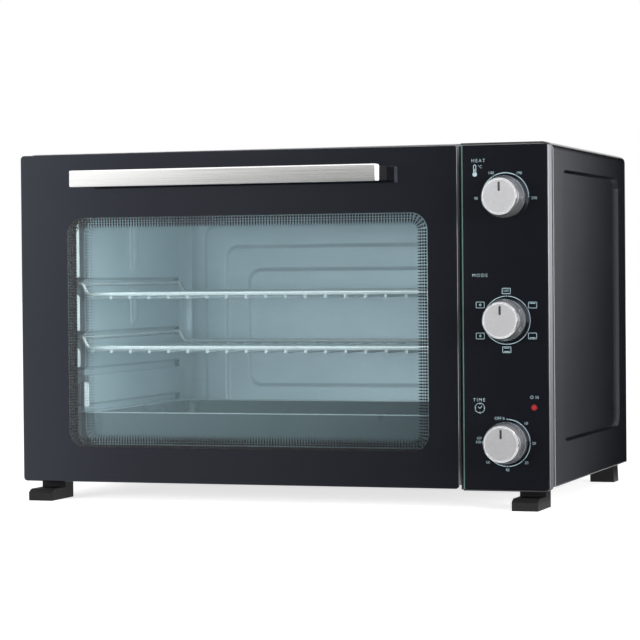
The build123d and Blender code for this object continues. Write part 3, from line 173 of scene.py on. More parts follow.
class Finish:
    """One material or light, built node by node."""

    def __init__(self, name, world=False):
        self.owner = (bpy.data.worlds if world else bpy.data.materials).new(name)
        self.owner.use_nodes = True
        self.nodes = self.owner.node_tree.nodes
        self.links = self.owner.node_tree.links
        self.nodes.clear()
        self.end = self.nodes.new("ShaderNodeOutputWorld" if world else "ShaderNodeOutputMaterial")

    def node(self, kind, settings=None, sockets=None, out=0):
        made = self.nodes.new(kind)
        for key, value in (settings or {}).items():
            setattr(made, key, value)
        for key, value in (sockets or {}).items():
            if isinstance(value, Value):
                self.links.new(value.socket, made.inputs[key])
            else:
                made.inputs[key].default_value = value
        return Value(self, made.outputs[out])

    def place(self, axis=None):
        spot = self.node("ShaderNodeTexCoord", out="Object")
        if axis is None:
            return spot
        return self.node("ShaderNodeSeparateXYZ", None, {0: spot}, out=axis)

    def grain(self, scale, stretch=(1, 1, 1), detail=3.0, roughness=0.5):
        spot = self.node("ShaderNodeMapping", None, {"Vector": self.place(), "Scale": stretch})
        sizes = {"Vector": spot, "Scale": scale, "Detail": detail, "Roughness": roughness}
        return self.node("ShaderNodeTexNoise", None, sizes)

    def cells(self, scale):
        sizes = {"Vector": self.place(), "Scale": scale}
        return self.node("ShaderNodeTexVoronoi", None, sizes, out="Distance")

    def tint(self, share, first, second):
        """Colour that goes from first to second as the share goes from 0 to 1."""
        ends = [end if isinstance(end, Value) else (*end, 1.0) for end in (first, second)]
        return self.node("ShaderNodeMix", {"data_type": "RGBA"}, {0: share, 6: ends[0], 7: ends[1]}, out=2)

    def bump(self, height, strength, distance):
        sizes = {"Strength": strength, "Distance": distance, "Height": height}
        return self.node("ShaderNodeBump", None, sizes)

    def gloss(self, **sockets):
        """Principled surface; socket names are given with _ for a space."""
        named = {key.replace("_", " "): value for key, value in sockets.items()}
        for key, value in named.items():
            if "Color" in key and not isinstance(value, Value):
                named[key] = (*value, 1.0)
        return self.node("ShaderNodeBsdfPrincipled", None, named)

    def mix(self, share, first, second):
        return self.node("ShaderNodeMixShader", None, {0: share, 1: first, 2: second})

    def clear(self, colour, gloss_colour, ior, cover=1.0):
        """Thin clear glass: straight through, with a mirror that grows as the view gets flatter."""
        through = self.node("ShaderNodeBsdfTransparent", None, {"Color": (*colour, 1.0)})
        shine = {"Color": (*gloss_colour, 1.0), "Roughness": 0.0}
        mirror = self.node("ShaderNodeBsdfGlossy", None, shine)
        leaving = self.node("ShaderNodeNewGeometry", out="Backfacing")
        share = self.node("ShaderNodeFresnel", None, {"IOR": ior + (1 / ior - ior) * leaving})
        return self.mix(share * cover, through, mirror)

    def done(self, surface):
        self.links.new(surface.socket, self.end.inputs["Surface"])
        return self.owner


def casing_paint():
    """Semi-gloss black enamel on sheet steel, with a faint orange peel; a pale grey band is painted along
    the front lip and the bottom edge as their highlight.
    """
    f = Finish("black_casing_paint")
    peel = f.grain(650, detail=2.0)
    cloud = f.grain(9, detail=4.0)
    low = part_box("outer_housing")[0]
    front_lip_highlight = f.place("Y").ease(low.y + FRONT_LIP_HIGHLIGHT[0], low.y + FRONT_LIP_HIGHLIGHT[1], 1.0, 0.0)
    low_lip_highlight = f.place("Z").ease(low.z + LOW_LIP_HIGHLIGHT[0], low.z + LOW_LIP_HIGHLIGHT[1], 0.7, 0.0)
    paint = f.tint(cloud, (0.005, 0.0055, 0.007), (0.010, 0.0105, 0.012))
    return f.done(f.gloss(
        # Painted highlight: pale grey along the casing's front lip and bottom edge
        Base_Color=f.tint(front_lip_highlight.most(low_lip_highlight), paint, (0.30, 0.30, 0.31)),
        Roughness=0.12 + 0.06 * cloud,
        Normal=f.bump(peel, 0.04, 0.0004),
    ))


def cavity_steel():
    """Satin aluminised sheet: fine rolling lines and soft cloudy patches, and painted shade that darkens
    it towards the oven's mouth.
    """
    f = Finish("cavity_steel")
    roll = f.grain(40, (1, 30, 30), detail=4.0)
    cloud = f.grain(14, detail=4.0)
    fleck = f.grain(900, detail=2.0)
    sheet_tone = (0.5 * roll + 0.5 * cloud).ease(0.3, 0.7)
    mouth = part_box("front_frame")[1].y
    mouth_shade = 1.0 - f.place("Y").ease(mouth + HEM_SHADE_SPAN[0], mouth + HEM_SHADE_SPAN[1])
    sheet = f.tint(sheet_tone, (0.60, 0.67, 0.72), (0.70, 0.77, 0.82))
    return f.done(f.gloss(
        # Painted shade: the sheet darkens over its last few mm towards the oven's mouth
        Base_Color=f.tint(HEM_SHADE * mouth_shade, sheet, (0.10, 0.11, 0.13)),
        Metallic=0.5,
        Roughness=0.34 + 0.12 * cloud,
        Normal=f.bump(fleck + roll, 0.06, 0.0003),
    ))


def lug_steel():
    """Zinc on the lugs, painted paler than plain zinc as a highlight, with painted shade, nearly black,
    near the wall where they are bent.
    """
    f = Finish("lug_steel")
    cloud = f.grain(60, detail=4.0)
    reach = (f.place("X") - OVEN_X[0]).least(OVEN_X[1] - f.place("X"))
    clear_of_bend_shade = reach.ease(*LUG_BEND_SHADE)
    zinc = f.tint(cloud, (0.84, 0.87, 0.87), (0.94, 0.95, 0.95))
    return f.done(f.gloss(
        # Painted shade near the wall at the bend, pale zinc as a painted highlight further out
        Base_Color=f.tint(clear_of_bend_shade, (0.10, 0.11, 0.12), zinc),
        Metallic=0.6 * clear_of_bend_shade,
        Roughness=0.18 + 0.12 * cloud,
    ))


def window_share(f):
    """Distance from the edge of the clear window, minus inside it."""
    half_x = (WINDOW_X[1] - WINDOW_X[0]) / 2 - WINDOW_CORNER
    half_z = (WINDOW_Z[1] - WINDOW_Z[0]) / 2 - WINDOW_CORNER
    reach_x = abs(f.place("X") - (WINDOW_X[0] + WINDOW_X[1]) / 2) - half_x
    reach_z = abs(f.place("Z") - (WINDOW_Z[0] + WINDOW_Z[1]) / 2) - half_z
    outside = (reach_x.most(0.0) ** 2.0 + reach_z.most(0.0) ** 2.0) ** 0.5
    return outside + reach_x.most(reach_z).least(0.0) - WINDOW_CORNER


def black_glass(f, node, smear, right_edge, edge_colour_and_highlight):
    """Polished black-backed glass with a bluish mirror, paler on its ground edges: a painted highlight
    over the glass's green-tinted side edge, and a painted highlight along its top, widening to the right.
    """
    low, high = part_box(node)
    beside = high.x - f.place("X") if right_edge else f.place("X") - low.x
    above = (high.z - f.place("Z")) / f.place("X").ease(*TOP_HIGHLIGHT_RUN, *TOP_HIGHLIGHT_SHARE)
    top = 1.0 - above.over(TOP_EDGE_HIGHLIGHT)
    rim = (1.0 - beside.over(DOOR_SIDE_EDGE if right_edge else PANEL_SIDE_EDGE)).most(top)
    return f.gloss(
        # Painted highlight: pale along the top and along the side edge
        Base_Color=f.tint(rim, (0.0030, 0.0033, 0.0045), f.tint(top, edge_colour_and_highlight, (0.10, 0.10, 0.095))),
        Roughness=0.012 + 0.03 * smear + 0.3 * rim,
        IOR=1.50,
        Specular_Tint=(0.76, 0.84, 1.0, 1.0),
    )


def door_glass():
    """Glass with a black printed border on its face; the window and the back are clear."""
    f = Finish("door_glass")
    smear = f.grain(7, (1, 1, 2), detail=5.0).ease(0.45, 0.75)
    face = 1.0 - f.place("Y").over(door_front + GLASS_FACE)
    border = window_share(f).over(0.0) * face
    pane = f.clear((0.945, 0.978, 0.985), (0.92, 0.97, 1.0), 1.55, face)
    return f.done(f.mix(border, pane, black_glass(f, "door_glass", smear, True, (0.13, 0.135, 0.13))))


def inner_glass():
    """Inner pane with a bluish heat mirror on its oven side, and a thin film of dust to soften it."""
    f = Finish("inner_glass")
    low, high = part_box("door_inner_glass")
    dust = f.grain(5, detail=6.0).ease(0.5, 0.8)
    oven_side = f.place("Y").over((low.y + high.y) / 2)
    pane = f.clear((0.97, 0.985, 0.985), (0.66, 0.90, 0.98), 2.7, oven_side)
    film = f.gloss(Base_Color=(0.5, 0.55, 0.57), Roughness=0.6)
    return f.done(f.mix(0.015 * dust, pane, film))


def panel_glass():
    """Black-backed glass of the control panel, with a green ground edge that carries a painted highlight,
    and a painted highlight along its top.
    """
    f = Finish("panel_glass")
    smear = f.grain(9, (1, 1, 2), detail=5.0).ease(0.45, 0.75)
    return f.done(black_glass(f, "control_glass", smear, False, (0.05, 0.095, 0.078)))


def window_print():
    """Black ceramic print of the dots on the door glass."""
    f = Finish("window_print")
    speck = f.grain(2600, detail=2.0)
    return f.done(f.gloss(
        Base_Color=f.tint(speck, (0.003, 0.0033, 0.004), (0.006, 0.0065, 0.008)),
        Roughness=0.10 + 0.15 * speck,
    ))


def dial_print():
    """Pale screen print on the control panel, slightly uneven in its cover."""
    f = Finish("dial_print")
    cover = f.grain(1400, detail=3.0)
    return f.done(f.gloss(
        Base_Color=f.tint(cover, (0.16, 0.23, 0.255), (0.26, 0.35, 0.38)),
        Roughness=0.45 + 0.2 * cover,
    ))


def moulded(name, dark, light, roughness, grain_scale, depth, shine=0.5):
    """Moulded plastic with a fine spark-eroded grain."""
    f = Finish(name)
    grain = f.grain(grain_scale, detail=2.0)
    cloud = f.grain(22, detail=3.0)
    return f.done(f.gloss(
        Base_Color=f.tint(cloud, dark, light),
        Roughness=roughness + 0.14 * grain,
        Specular_IOR_Level=shine,
        Normal=f.bump(grain, 0.25, depth),
    ))


def red_lens():
    """Dull red ribbed lens of the power lamp, with painted shade darkening it towards its rim."""
    f = Finish("red_lens")
    facets = f.cells(900)
    low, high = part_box("power_lamp_lens")
    off_x = f.place("X") - (low.x + high.x) / 2
    off_z = f.place("Z") - (low.z + high.z) / 2
    rim = (off_x * off_x + off_z * off_z).math("SQRT").ease(*LENS_RIM_SHADE)
    return f.done(f.gloss(
        # Painted shade: the red darkens from the lens's middle to its rim
        Base_Color=f.tint((0.3 * facets + rim).least(1.0), (0.25, 0.006, 0.011), (0.04, 0.002, 0.003)),
        Roughness=0.30 + 0.2 * facets,
        Specular_IOR_Level=0.25,
        Normal=f.bump(facets, 0.4, 0.0003),
    ))


def plated(name, dark, light, roughness, spread, grain_scale, stretch=(1, 1, 1), metallic=1.0):
    """Bare or plated metal: two tones and a roughness that wander along its grain."""
    f = Finish(name)
    streak = f.grain(grain_scale, stretch, detail=4.0)
    cloud = f.grain(30, detail=3.0)
    return f.done(f.gloss(
        Base_Color=f.tint((0.6 * streak + 0.4 * cloud).ease(0.3, 0.7), dark, light),
        Metallic=metallic,
        Roughness=roughness + spread * streak,
        Normal=f.bump(streak, 0.04, 0.0002),
    ))


def handle_steel():
    """Brushed bar: grain along its length, with a painted highlight of near-white on its ends."""
    f = Finish("handle_steel")
    low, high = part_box("handle_bar")
    brush = f.grain(60, (0.12, 25, 25), detail=4.0)
    end = 1.0 - (f.place("X") - low.x).least(high.x - f.place("X")).over(HANDLE_TIP_HIGHLIGHT)
    steel = f.tint(brush.ease(0.3, 0.7), (0.64, 0.64, 0.63), (0.77, 0.77, 0.76))
    return f.done(f.gloss(
        # Painted highlight: the bar's ends are near-white and barely metallic
        Base_Color=f.tint(end, steel, (0.95, 0.95, 0.95)),
        Metallic=1.0 - 0.9 * end,
        Roughness=0.20 + 0.16 * brush,
        Normal=f.bump(brush, 0.10, 0.0002),
    ))


def knob_satin():
    """Blasted cap: a mottled satin grain inside a pale, smoother rim that is a painted highlight."""
    f = Finish("knob_satin")
    mottle = f.grain(1500, detail=3.0, roughness=0.65)
    pits = f.cells(2600)
    boxes = [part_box(dial + "_knob_cap") for dial in DIALS]
    first, *others = [(low + high) / 2 for low, high in boxes]
    rise = abs(f.place("Z") - first.z)
    for other in others:
        rise = rise.least(abs(f.place("Z") - other.z))
    reach = ((f.place("X") - first.x) ** 2.0 + rise ** 2.0) ** 0.5
    turned = reach.over((boxes[0][1].x - boxes[0][0].x) / 2 - KNOB_RIM_HIGHLIGHT)
    satin = f.tint(mottle.ease(0.3, 0.7), (0.37, 0.37, 0.385), (0.48, 0.48, 0.485))
    return f.done(f.gloss(
        # Painted highlight: a pale ring round the edge of each cap
        Base_Color=f.tint(turned, satin, (0.68, 0.68, 0.68)),
        Metallic=0.75 - 0.35 * turned,
        Roughness=0.30 + 0.16 * mottle - 0.12 * turned,
        Normal=f.bump(mottle + 0.5 * pits, 0.22, 0.0002),
    ))


def ceramic():
    """Fired insulator clay, speckled and a little rough."""
    f = Finish("ceramic")
    speck = f.cells(1500)
    cloud = f.grain(60, detail=3.0)
    share = (0.7 * cloud + 0.3 * speck).ease(0.2, 0.7)
    return f.done(f.gloss(
        Base_Color=f.tint(share, (0.62, 0.58, 0.50), (0.80, 0.77, 0.70)),
        Roughness=0.45 + 0.2 * speck,
        Normal=f.bump(speck, 0.1, 0.0002),
    ))


def dark_enamel():
    """Dark grey vitreous enamel, speckled, with a wet gloss over it and a painted highlight along the top
    of its rim.
    """
    f = Finish("dark_enamel")
    speck = f.cells(900).ease(0.05, 0.25)
    cloud = f.grain(18, detail=3.0)
    base = f.tint(cloud, (0.012, 0.015, 0.017), (0.022, 0.027, 0.030))
    rim = f.place("Z").over(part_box("baking_tray")[1].z - TRAY_RIM_HIGHLIGHT)
    return f.done(f.gloss(
        # Painted highlight: pale grey along the top of the tray's rim
        Base_Color=f.tint(rim, f.tint(speck, (0.07, 0.08, 0.085), base), (0.42, 0.45, 0.46)),
        Roughness=0.22 + 0.15 * cloud,
        Coat_Weight=0.3,
        Normal=f.bump(f.grain(260, detail=2.0), 0.06, 0.0006),
    ))


def door_steel():
    """Black enamel on the door's frame, left bare where the sheet turns in round the opening."""
    f = Finish("door_steel")
    grain = f.grain(420, detail=3.0)
    low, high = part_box("door_inner_glass")
    reach_x = (f.place("X") - low.x).least(high.x - f.place("X"))
    reach_z = (f.place("Z") - low.z).least(high.z - f.place("Z"))
    bare = reach_x.over(BARE_OUT) * reach_z.over(BARE_END) * (1.0 - reach_x.over(BARE_IN))
    sheet = f.tint(grain, (0.10, 0.11, 0.12), (0.15, 0.165, 0.18))
    return f.done(f.gloss(
        Base_Color=f.tint(bare, (0.012, 0.012, 0.013), sheet),
        Metallic=0.9 * bare,
        Roughness=0.30 + 0.15 * grain,
        Normal=f.bump(grain, 0.05, 0.0003),
    ))


def bezel_plastic():
    """Black moulding whose outer side edge is painted satin silver as a highlight, with painted shade
    darkening it towards the bottom.
    """
    f = Finish("bezel_plastic")
    grain = f.grain(1900, detail=2.0)
    edge = f.place("X").over(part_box("control_bezel")[1].x - BEZEL_EDGE_HIGHLIGHT)
    edge_highlight = f.tint(f.place("Z").ease(0.0, 0.3), (0.17, 0.17, 0.185), (0.42, 0.42, 0.45))
    return f.done(f.gloss(
        # Painted highlight: silver on the outer side edge, with painted shade towards the bottom
        Base_Color=f.tint(edge, (0.010, 0.010, 0.011), edge_highlight),
        Metallic=0.6 * edge,
        Roughness=0.34 + 0.10 * grain,
        Normal=f.bump(grain, 0.15, 0.0002),
    ))


finishes = {
    "black_casing_paint": casing_paint(),
    "cavity_steel": cavity_steel(),
    "door_glass": door_glass(),
    "inner_glass": inner_glass(),
    "panel_glass": panel_glass(),
    "black_plastic": moulded(
        "black_plastic", dark=(0.009, 0.009, 0.0095), light=(0.016, 0.016, 0.017),
        roughness=0.38, grain_scale=1900, depth=0.0002,
    ),
    "unit_plastic": moulded(
        "unit_plastic", dark=(0.10, 0.10, 0.095), light=(0.16, 0.16, 0.15),
        roughness=0.5, grain_scale=1200, depth=0.0003,
    ),
    "foot_plastic": moulded(
        "foot_plastic", dark=(0.0035, 0.0035, 0.0035), light=(0.006, 0.006, 0.006),
        roughness=0.5, grain_scale=1900, depth=0.0002, shine=0.22,
    ),
    "bezel_plastic": bezel_plastic(),
    "red_lens": red_lens(),
    "zinc_steel": plated(
        "zinc_steel", dark=(0.46, 0.47, 0.45), light=(0.62, 0.63, 0.62),
        roughness=0.30, spread=0.18, grain_scale=120,
    ),
    "heater_steel": plated(
        "heater_steel", dark=(0.16, 0.15, 0.145), light=(0.34, 0.32, 0.30),
        roughness=0.36, spread=0.20, grain_scale=90, stretch=(0.2, 1, 1),
    ),
    "ceramic": ceramic(),
    "fan_aluminium": plated(
        "fan_aluminium", dark=(0.60, 0.61, 0.62), light=(0.74, 0.75, 0.76),
        roughness=0.30, spread=0.15, grain_scale=160,
    ),
    "door_steel": door_steel(),
    "handle_steel": handle_steel(),
    "knob_chrome": plated(
        "knob_chrome", dark=(0.66, 0.66, 0.68), light=(0.84, 0.84, 0.86),
        roughness=0.10, spread=0.08, grain_scale=60, metallic=0.9,
    ),
    "knob_satin": knob_satin(),
    "rack_chrome": plated(
        "rack_chrome", dark=(0.84, 0.85, 0.85), light=(0.94, 0.95, 0.95),
        roughness=0.10, spread=0.10, grain_scale=200, metallic=0.6,
    ),
    "dark_enamel": dark_enamel(),
    "lug_steel": lug_steel(),
    # Painted highlight: the ribs, pressed in the oven's own sheet, are paler than it
    "rib_steel": plated(
        "rib_steel", dark=(0.74, 0.80, 0.83), light=(0.84, 0.90, 0.92),
        roughness=0.34, spread=0.12, grain_scale=60, metallic=0.4,
    ),
    # Painted highlight: the mouth's folded strips are paler than the oven's sheet they are part of
    "flare_steel": plated(
        "flare_steel", dark=(0.90, 0.92, 0.92), light=(0.96, 0.97, 0.97),
        roughness=0.16, spread=0.12, grain_scale=220, metallic=0.6,
    ),
}
prints = {"window": window_print(), "dial": dial_print()}

# Nodes whose finish isn't that of their slot
SPECIAL_FINISHES = {
    "control_bezel": "bezel_plastic",
    "front_left_foot": "foot_plastic",
    "front_right_foot": "foot_plastic",
    "rear_left_foot": "foot_plastic",
    "rear_right_foot": "foot_plastic",
}
for row in frame["record"]["subparts"]:
    mesh = frame["nodes"][row["node"]].data
    mesh.materials.clear()
    mesh.materials.append(finishes[SPECIAL_FINISHES.get(row["node"], row["material_slot"])])


def made_mesh(name, bm):
    """Plain mesh from the one that was being edited."""
    mesh = bpy.data.meshes.new(name)
    bm.to_mesh(mesh)
    bm.free()
    return mesh


def join_rings(bm, first, second):
    """Band of faces between two closed rings with the same number of points."""
    for i in range(len(first)):
        j = (i + 1) % len(first)
        bm.faces.new((first[i], first[j], second[j], second[i]))


def thicken(bm, sheet):
    """Turns open faces to the door and gives them the thickness of a sheet."""
    bm.normal_update()
    for face in bm.faces:
        if face.normal.y > 0:
            face.normal_flip()
    bmesh.ops.solidify(bm, geom=bm.faces[:], thickness=sheet * MM)


def quarter(start, steps=QUARTER_STEPS):
    """Angles of a quarter turn, from a start in degrees."""
    return [math.radians(start + 90 * i / steps) for i in range(steps + 1)]


def add_piece(name, mesh, body, material):
    """New piece in the scene, carried by a body, with one finish."""
    mesh.materials.clear()
    mesh.materials.append(material)
    piece = bpy.data.objects.new(name, mesh)
    bpy.context.scene.collection.objects.link(piece)
    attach(piece, body)
    return piece


class Tree:
    """A tree of nodes that makes geometry, with named size inputs."""

    def __init__(self, name, **sizes):
        self.group = bpy.data.node_groups.new(name, "GeometryNodeTree")
        self.sizes = {}
        face = self.group.interface
        face.new_socket("Geometry", in_out="INPUT", socket_type="NodeSocketGeometry")
        for label, value in sizes.items():
            kind = "NodeSocketInt" if isinstance(value, int) else "NodeSocketFloat"
            kind = "NodeSocketMaterial" if isinstance(value, bpy.types.Material) else kind
            self.sizes[face.new_socket(label, in_out="INPUT", socket_type=kind).identifier] = value
        face.new_socket("Geometry", in_out="OUTPUT", socket_type="NodeSocketGeometry")
        self.start = self.group.nodes.new("NodeGroupInput")
        self.end = self.group.nodes.new("NodeGroupOutput")

    def size(self, label):
        return self.start.outputs[label]

    def node(self, kind, settings=None, sockets=None, out=0):
        made = self.group.nodes.new(kind)
        for key, value in (settings or {}).items():
            setattr(made, key, value)
        for key, value in (sockets or {}).items():
            for one in value if isinstance(value, list) else [value]:
                if isinstance(one, bpy.types.NodeSocket):
                    self.group.links.new(one, made.inputs[key])
                else:
                    made.inputs[key].default_value = one
        return made.outputs[out]

    def shift(self, geometry, move=(0, 0, 0), turn=(0, 0, 0), scale=(1, 1, 1)):
        return self.node("GeometryNodeTransform", None, {
            "Geometry": geometry, "Translation": move, "Rotation": turn, "Scale": scale,
        })

    def make(self, name, geometry):
        """Realises the tree's result as a plain mesh."""
        whole = self.node("GeometryNodeRealizeInstances", None, {0: geometry})
        dressed = self.node("GeometryNodeSetMaterial", None, {
            "Geometry": whole, "Material": self.size("Finish"),
        })
        self.group.links.new(dressed, self.end.inputs[0])
        carrier = bpy.data.objects.new(name + ".carrier", bpy.data.meshes.new(name + ".start"))
        bpy.context.scene.collection.objects.link(carrier)
        modifier = carrier.modifiers.new(name, "NODES")
        modifier.node_group = self.group
        for identifier, value in self.sizes.items():
            modifier[identifier] = value
        bpy.context.view_layer.update()
        evaluated = carrier.evaluated_get(bpy.context.evaluated_depsgraph_get())
        mesh = bpy.data.meshes.new_from_object(evaluated)
        mesh.name = name
        carrier.modifiers.remove(modifier)
        bpy.data.objects.remove(carrier)
        return mesh


def window_dots():
    """Rows of shrinking dots and a tapered dash, marching round the window's edge."""
    inset = DOT_ROWS[-1] * MM
    width = WINDOW_X[1] - WINDOW_X[0] - 2 * inset
    height = WINDOW_Z[1] - WINDOW_Z[0] - 2 * inset
    corner = WINDOW_CORNER - inset
    around = 2 * (width + height) - (8 - 2 * math.pi) * corner
    t = Tree(
        "window_dots", Width=width, Height=height, Corner=corner, Count=round(around / DOT_PITCH / MM),
        Thickness=PRINT_THICKNESS, Finish=prints["window"],
    )
    edge = t.node("GeometryNodeCurvePrimitiveQuadrilateral", None, {
        "Width": t.size("Width"), "Height": t.size("Height"),
    })
    edge = t.node("GeometryNodeFilletCurve", {"mode": "POLY"}, {
        "Curve": edge, "Radius": t.size("Corner"), "Count": DOT_CORNER_STEPS,
    })
    walk = t.node("GeometryNodeCurveToPoints", {"mode": "COUNT"}, {
        "Curve": edge, "Count": t.size("Count"),
    })
    tangent = walk.node.outputs["Tangent"]
    marks = []
    for row, size in zip(DOT_ROWS, DOT_SIZES):
        dot = t.node("GeometryNodeMeshCylinder", None, {
            "Vertices": DOT_SIDES, "Radius": size * MM / 2, "Depth": t.size("Thickness"),
        })
        marks.append(t.shift(dot, (0, row * MM - inset, 0), (0, 0, math.pi / DOT_SIDES)))
    dash = t.node("GeometryNodeMeshCylinder", None, {
        "Vertices": 3, "Radius": MM, "Depth": t.size("Thickness"),
    })
    dash = t.shift(dash, turn=(0, 0, math.pi / 2))
    # A triangle in a circle of radius 1 is the root of 3 wide and 1.5 long
    shape = (DASH_WIDTH / math.sqrt(3), DASH_LENGTH / 1.5, 1)
    marks.append(t.shift(dash, (0, (DASH_ROW - DASH_LENGTH / 6) * MM - inset, 0), scale=shape))
    motif = t.node("GeometryNodeJoinGeometry", None, {0: marks})
    stand = t.node(
        "FunctionNodeAxesToRotation", {"primary_axis": "Z", "secondary_axis": "X"},
        {"Primary Axis": (0, 0, 1), "Secondary Axis": tangent},
    )
    rows = t.node("GeometryNodeInstanceOnPoints", None, {
        "Points": walk, "Instance": motif, "Rotation": stand,
    })
    centre = (sum(WINDOW_X) / 2, door_front - PRINT_THICKNESS / 2, sum(WINDOW_Z) / 2)
    return t.make("window_dots", t.shift(rows, centre, (math.pi / 2, 0, 0)))


add_piece("window_dots", window_dots(), "door", prints["window"])

# Pressed fields of the oven's back wall: margins from its sides, top and bottom, and depth to the back
PRESS_FIELDS = ((30.5, 35.0, 24.0, -3.3), (57.0, 60.0, 48.0, 0.0), (84.0, 87.0, 73.5, 3.3))
PRESS_CORNER = 14.0
PRESS_CORNER_STEPS = 12
PRESS_SLOPE = 3.0
PRESS_STEPS = 8
WALL_CORNER = 12.0
WALL_RIM_CORNER = 0.2
WALL_MERGE = 0.02
SHEET = 0.6


def back_wall():
    """Back sheet of the oven: rounded at both sides, with three fields pressed one inside the other."""
    low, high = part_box("cavity_back_wall")
    left, right = low.x / MM + SHEET, high.x / MM - SHEET
    bottom, top = low.z / MM, high.z / MM
    plane = low.y / MM + WALL_CORNER
    bm = bmesh.new()

    def loop(x0, x1, z0, z1, corner, depth):
        """Ring of points round a rounded oblong at one depth."""
        ring = []
        y = (plane + depth) * MM
        spots = (
            (x1 - corner, z1 - corner, 0), (x0 + corner, z1 - corner, 90),
            (x0 + corner, z0 + corner, 180), (x1 - corner, z0 + corner, 270),
        )
        for x, z, start in spots:
            for a in quarter(start, PRESS_CORNER_STEPS):
                spot = ((x + corner * math.cos(a)) * MM, y, (z + corner * math.sin(a)) * MM)
                ring.append(bm.verts.new(spot))
        return ring

    last = loop(left + WALL_CORNER, right - WALL_CORNER, bottom, top, WALL_RIM_CORNER, 0.0)
    level = 0.0
    for side, above, below, depth in PRESS_FIELDS:
        for i in range(PRESS_STEPS + 1):
            share = i / PRESS_STEPS
            inset = (2 * share - 1) * PRESS_SLOPE
            ease = share * share * (3 - 2 * share)
            ring = loop(
                left + side + inset, right - side - inset, bottom + below + inset, top - above - inset,
                PRESS_CORNER - inset, level + (depth - level) * ease,
            )
            join_rings(bm, last, ring)
            last = ring
        level = depth
    bm.faces.new(last)
    for centre, turn in ((left + WALL_CORNER, 180), (right - WALL_CORNER, 0)):
        columns = []
        for i in range(QUARTER_STEPS + 1):
            a = math.radians(turn + (90 - turn) * i / QUARTER_STEPS)
            x = (centre + WALL_CORNER * math.cos(a)) * MM
            y = (plane - WALL_CORNER + WALL_CORNER * math.sin(a)) * MM
            columns.append([bm.verts.new((x, y, z * MM)) for z in (bottom, top)])
        for first, second in zip(columns, columns[1:]):
            bm.faces.new((first[0], second[0], second[1], first[1]))
    bmesh.ops.remove_doubles(bm, verts=bm.verts, dist=WALL_MERGE * MM)
    for face in bm.faces:
        face.smooth = True
    thicken(bm, SHEET)
    mesh = made_mesh("pressed_back_wall", bm)
    wall = add_piece("pressed_back_wall", mesh, "casing", finishes["cavity_steel"])
    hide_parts("cavity_back_wall")


back_wall()

# Upright ribs pressed into the oven's side walls
RIB_LENGTHS = ((182.0, 222.0), (240.0, 318.0))
RIB_MIDDLE = 11.0
RIB_HALF = 12.5
RIB_RISE = 2.4
RIB_SUNK = 0.1
RIB_END = 9.0
RIB_STEPS = (16, 24)


def wall_ribs():
    """Smooth half-round ribs on both side walls, fading out at their ends."""
    bm = bmesh.new()
    across, along = RIB_STEPS
    for face_x, inward in ((OVEN_X[0], 1), (OVEN_X[1], -1)):
        for low, high in RIB_LENGTHS:
            grid = []
            for i in range(along + 1):
                z = low + (high - low) * (1 - math.cos(math.pi * i / along)) / 2
                reach = min(z - low, high - z, RIB_END) / RIB_END
                rise = RIB_RISE * math.sin(reach * math.pi / 2)
                row = []
                for j in range(across + 1):
                    share = 2 * j / across - 1
                    lift = rise * (math.cos(share * math.pi) + 1) / 2
                    row.append(bm.verts.new((
                        face_x + inward * lift * MM, (RIB_MIDDLE + share * RIB_HALF) * MM, z * MM,
                    )))
                grid.append(row)
            for row, following in zip(grid, grid[1:]):
                for j in range(across):
                    bm.faces.new((row[j], row[j + 1], following[j + 1], following[j]))
            flat = [bm.verts.new((face_x - inward * RIB_SUNK * MM, y * MM, z * MM)) for y, z in (
                (RIB_MIDDLE - RIB_HALF, low), (RIB_MIDDLE + RIB_HALF, low),
                (RIB_MIDDLE + RIB_HALF, high), (RIB_MIDDLE - RIB_HALF, high),
            )]
            bm.faces.new((*grid[0], flat[1], flat[0]))
            bm.faces.new((*grid[-1], flat[2], flat[3]))
            bm.faces.new((*[row[0] for row in grid], flat[3], flat[0]))
            bm.faces.new((*[row[-1] for row in grid], flat[2], flat[1]))
            bm.faces.new(flat)
    bmesh.ops.recalc_face_normals(bm, faces=bm.faces)
    for face in bm.faces:
        face.smooth = True
    mesh = made_mesh("wall_ribs", bm)
    add_piece("wall_ribs", mesh, "casing", finishes["rib_steel"])


wall_ribs()

# Flared edges of the oven's mouth, between the notches where the racks and the tray come out
FLARE_LENGTHS = ((139.8, 160.8), (178.4, 218.0), (235.6, 322.0))
FLARE_DEPTH = (-147.5, -146.1)
FLARE_FOLDS = ((-2.2, 0.6), (0.6, 3.4))
FLARE_SHEET = 0.4
FLARE_END = 3.5


def mouth_flares():
    """Strips of folded sheet, painted bright as a highlight, slanting in along both sides of the mouth,
    with cut-back ends.
    """
    bm = bmesh.new()
    front, back = FLARE_DEPTH
    for face_x, inward in ((OVEN_X[0] / MM, 1), (OVEN_X[1] / MM, -1)):
        for edge, tip in ([face_x + inward * reach for reach in fold] for fold in FLARE_FOLDS):
            for low, high in FLARE_LENGTHS:
                corners = (
                    (edge, front, low), (edge, front, high),
                    (tip, back, high - FLARE_END), (tip, back, low + FLARE_END / 3),
                )
                bm.faces.new([bm.verts.new((x * MM, y * MM, z * MM)) for x, y, z in corners])
    thicken(bm, FLARE_SHEET)
    mesh = made_mesh("mouth_flares", bm)
    add_piece("mouth_flares", mesh, "casing", finishes["flare_steel"])


mouth_flares()

# Handle bar: rounded at its ends and a little along its long edges
HANDLE_END = 1.0
HANDLE_EDGE = 1.3
HANDLE_EDGE_STEPS = 4
HANDLE_SHARP = math.radians(40)


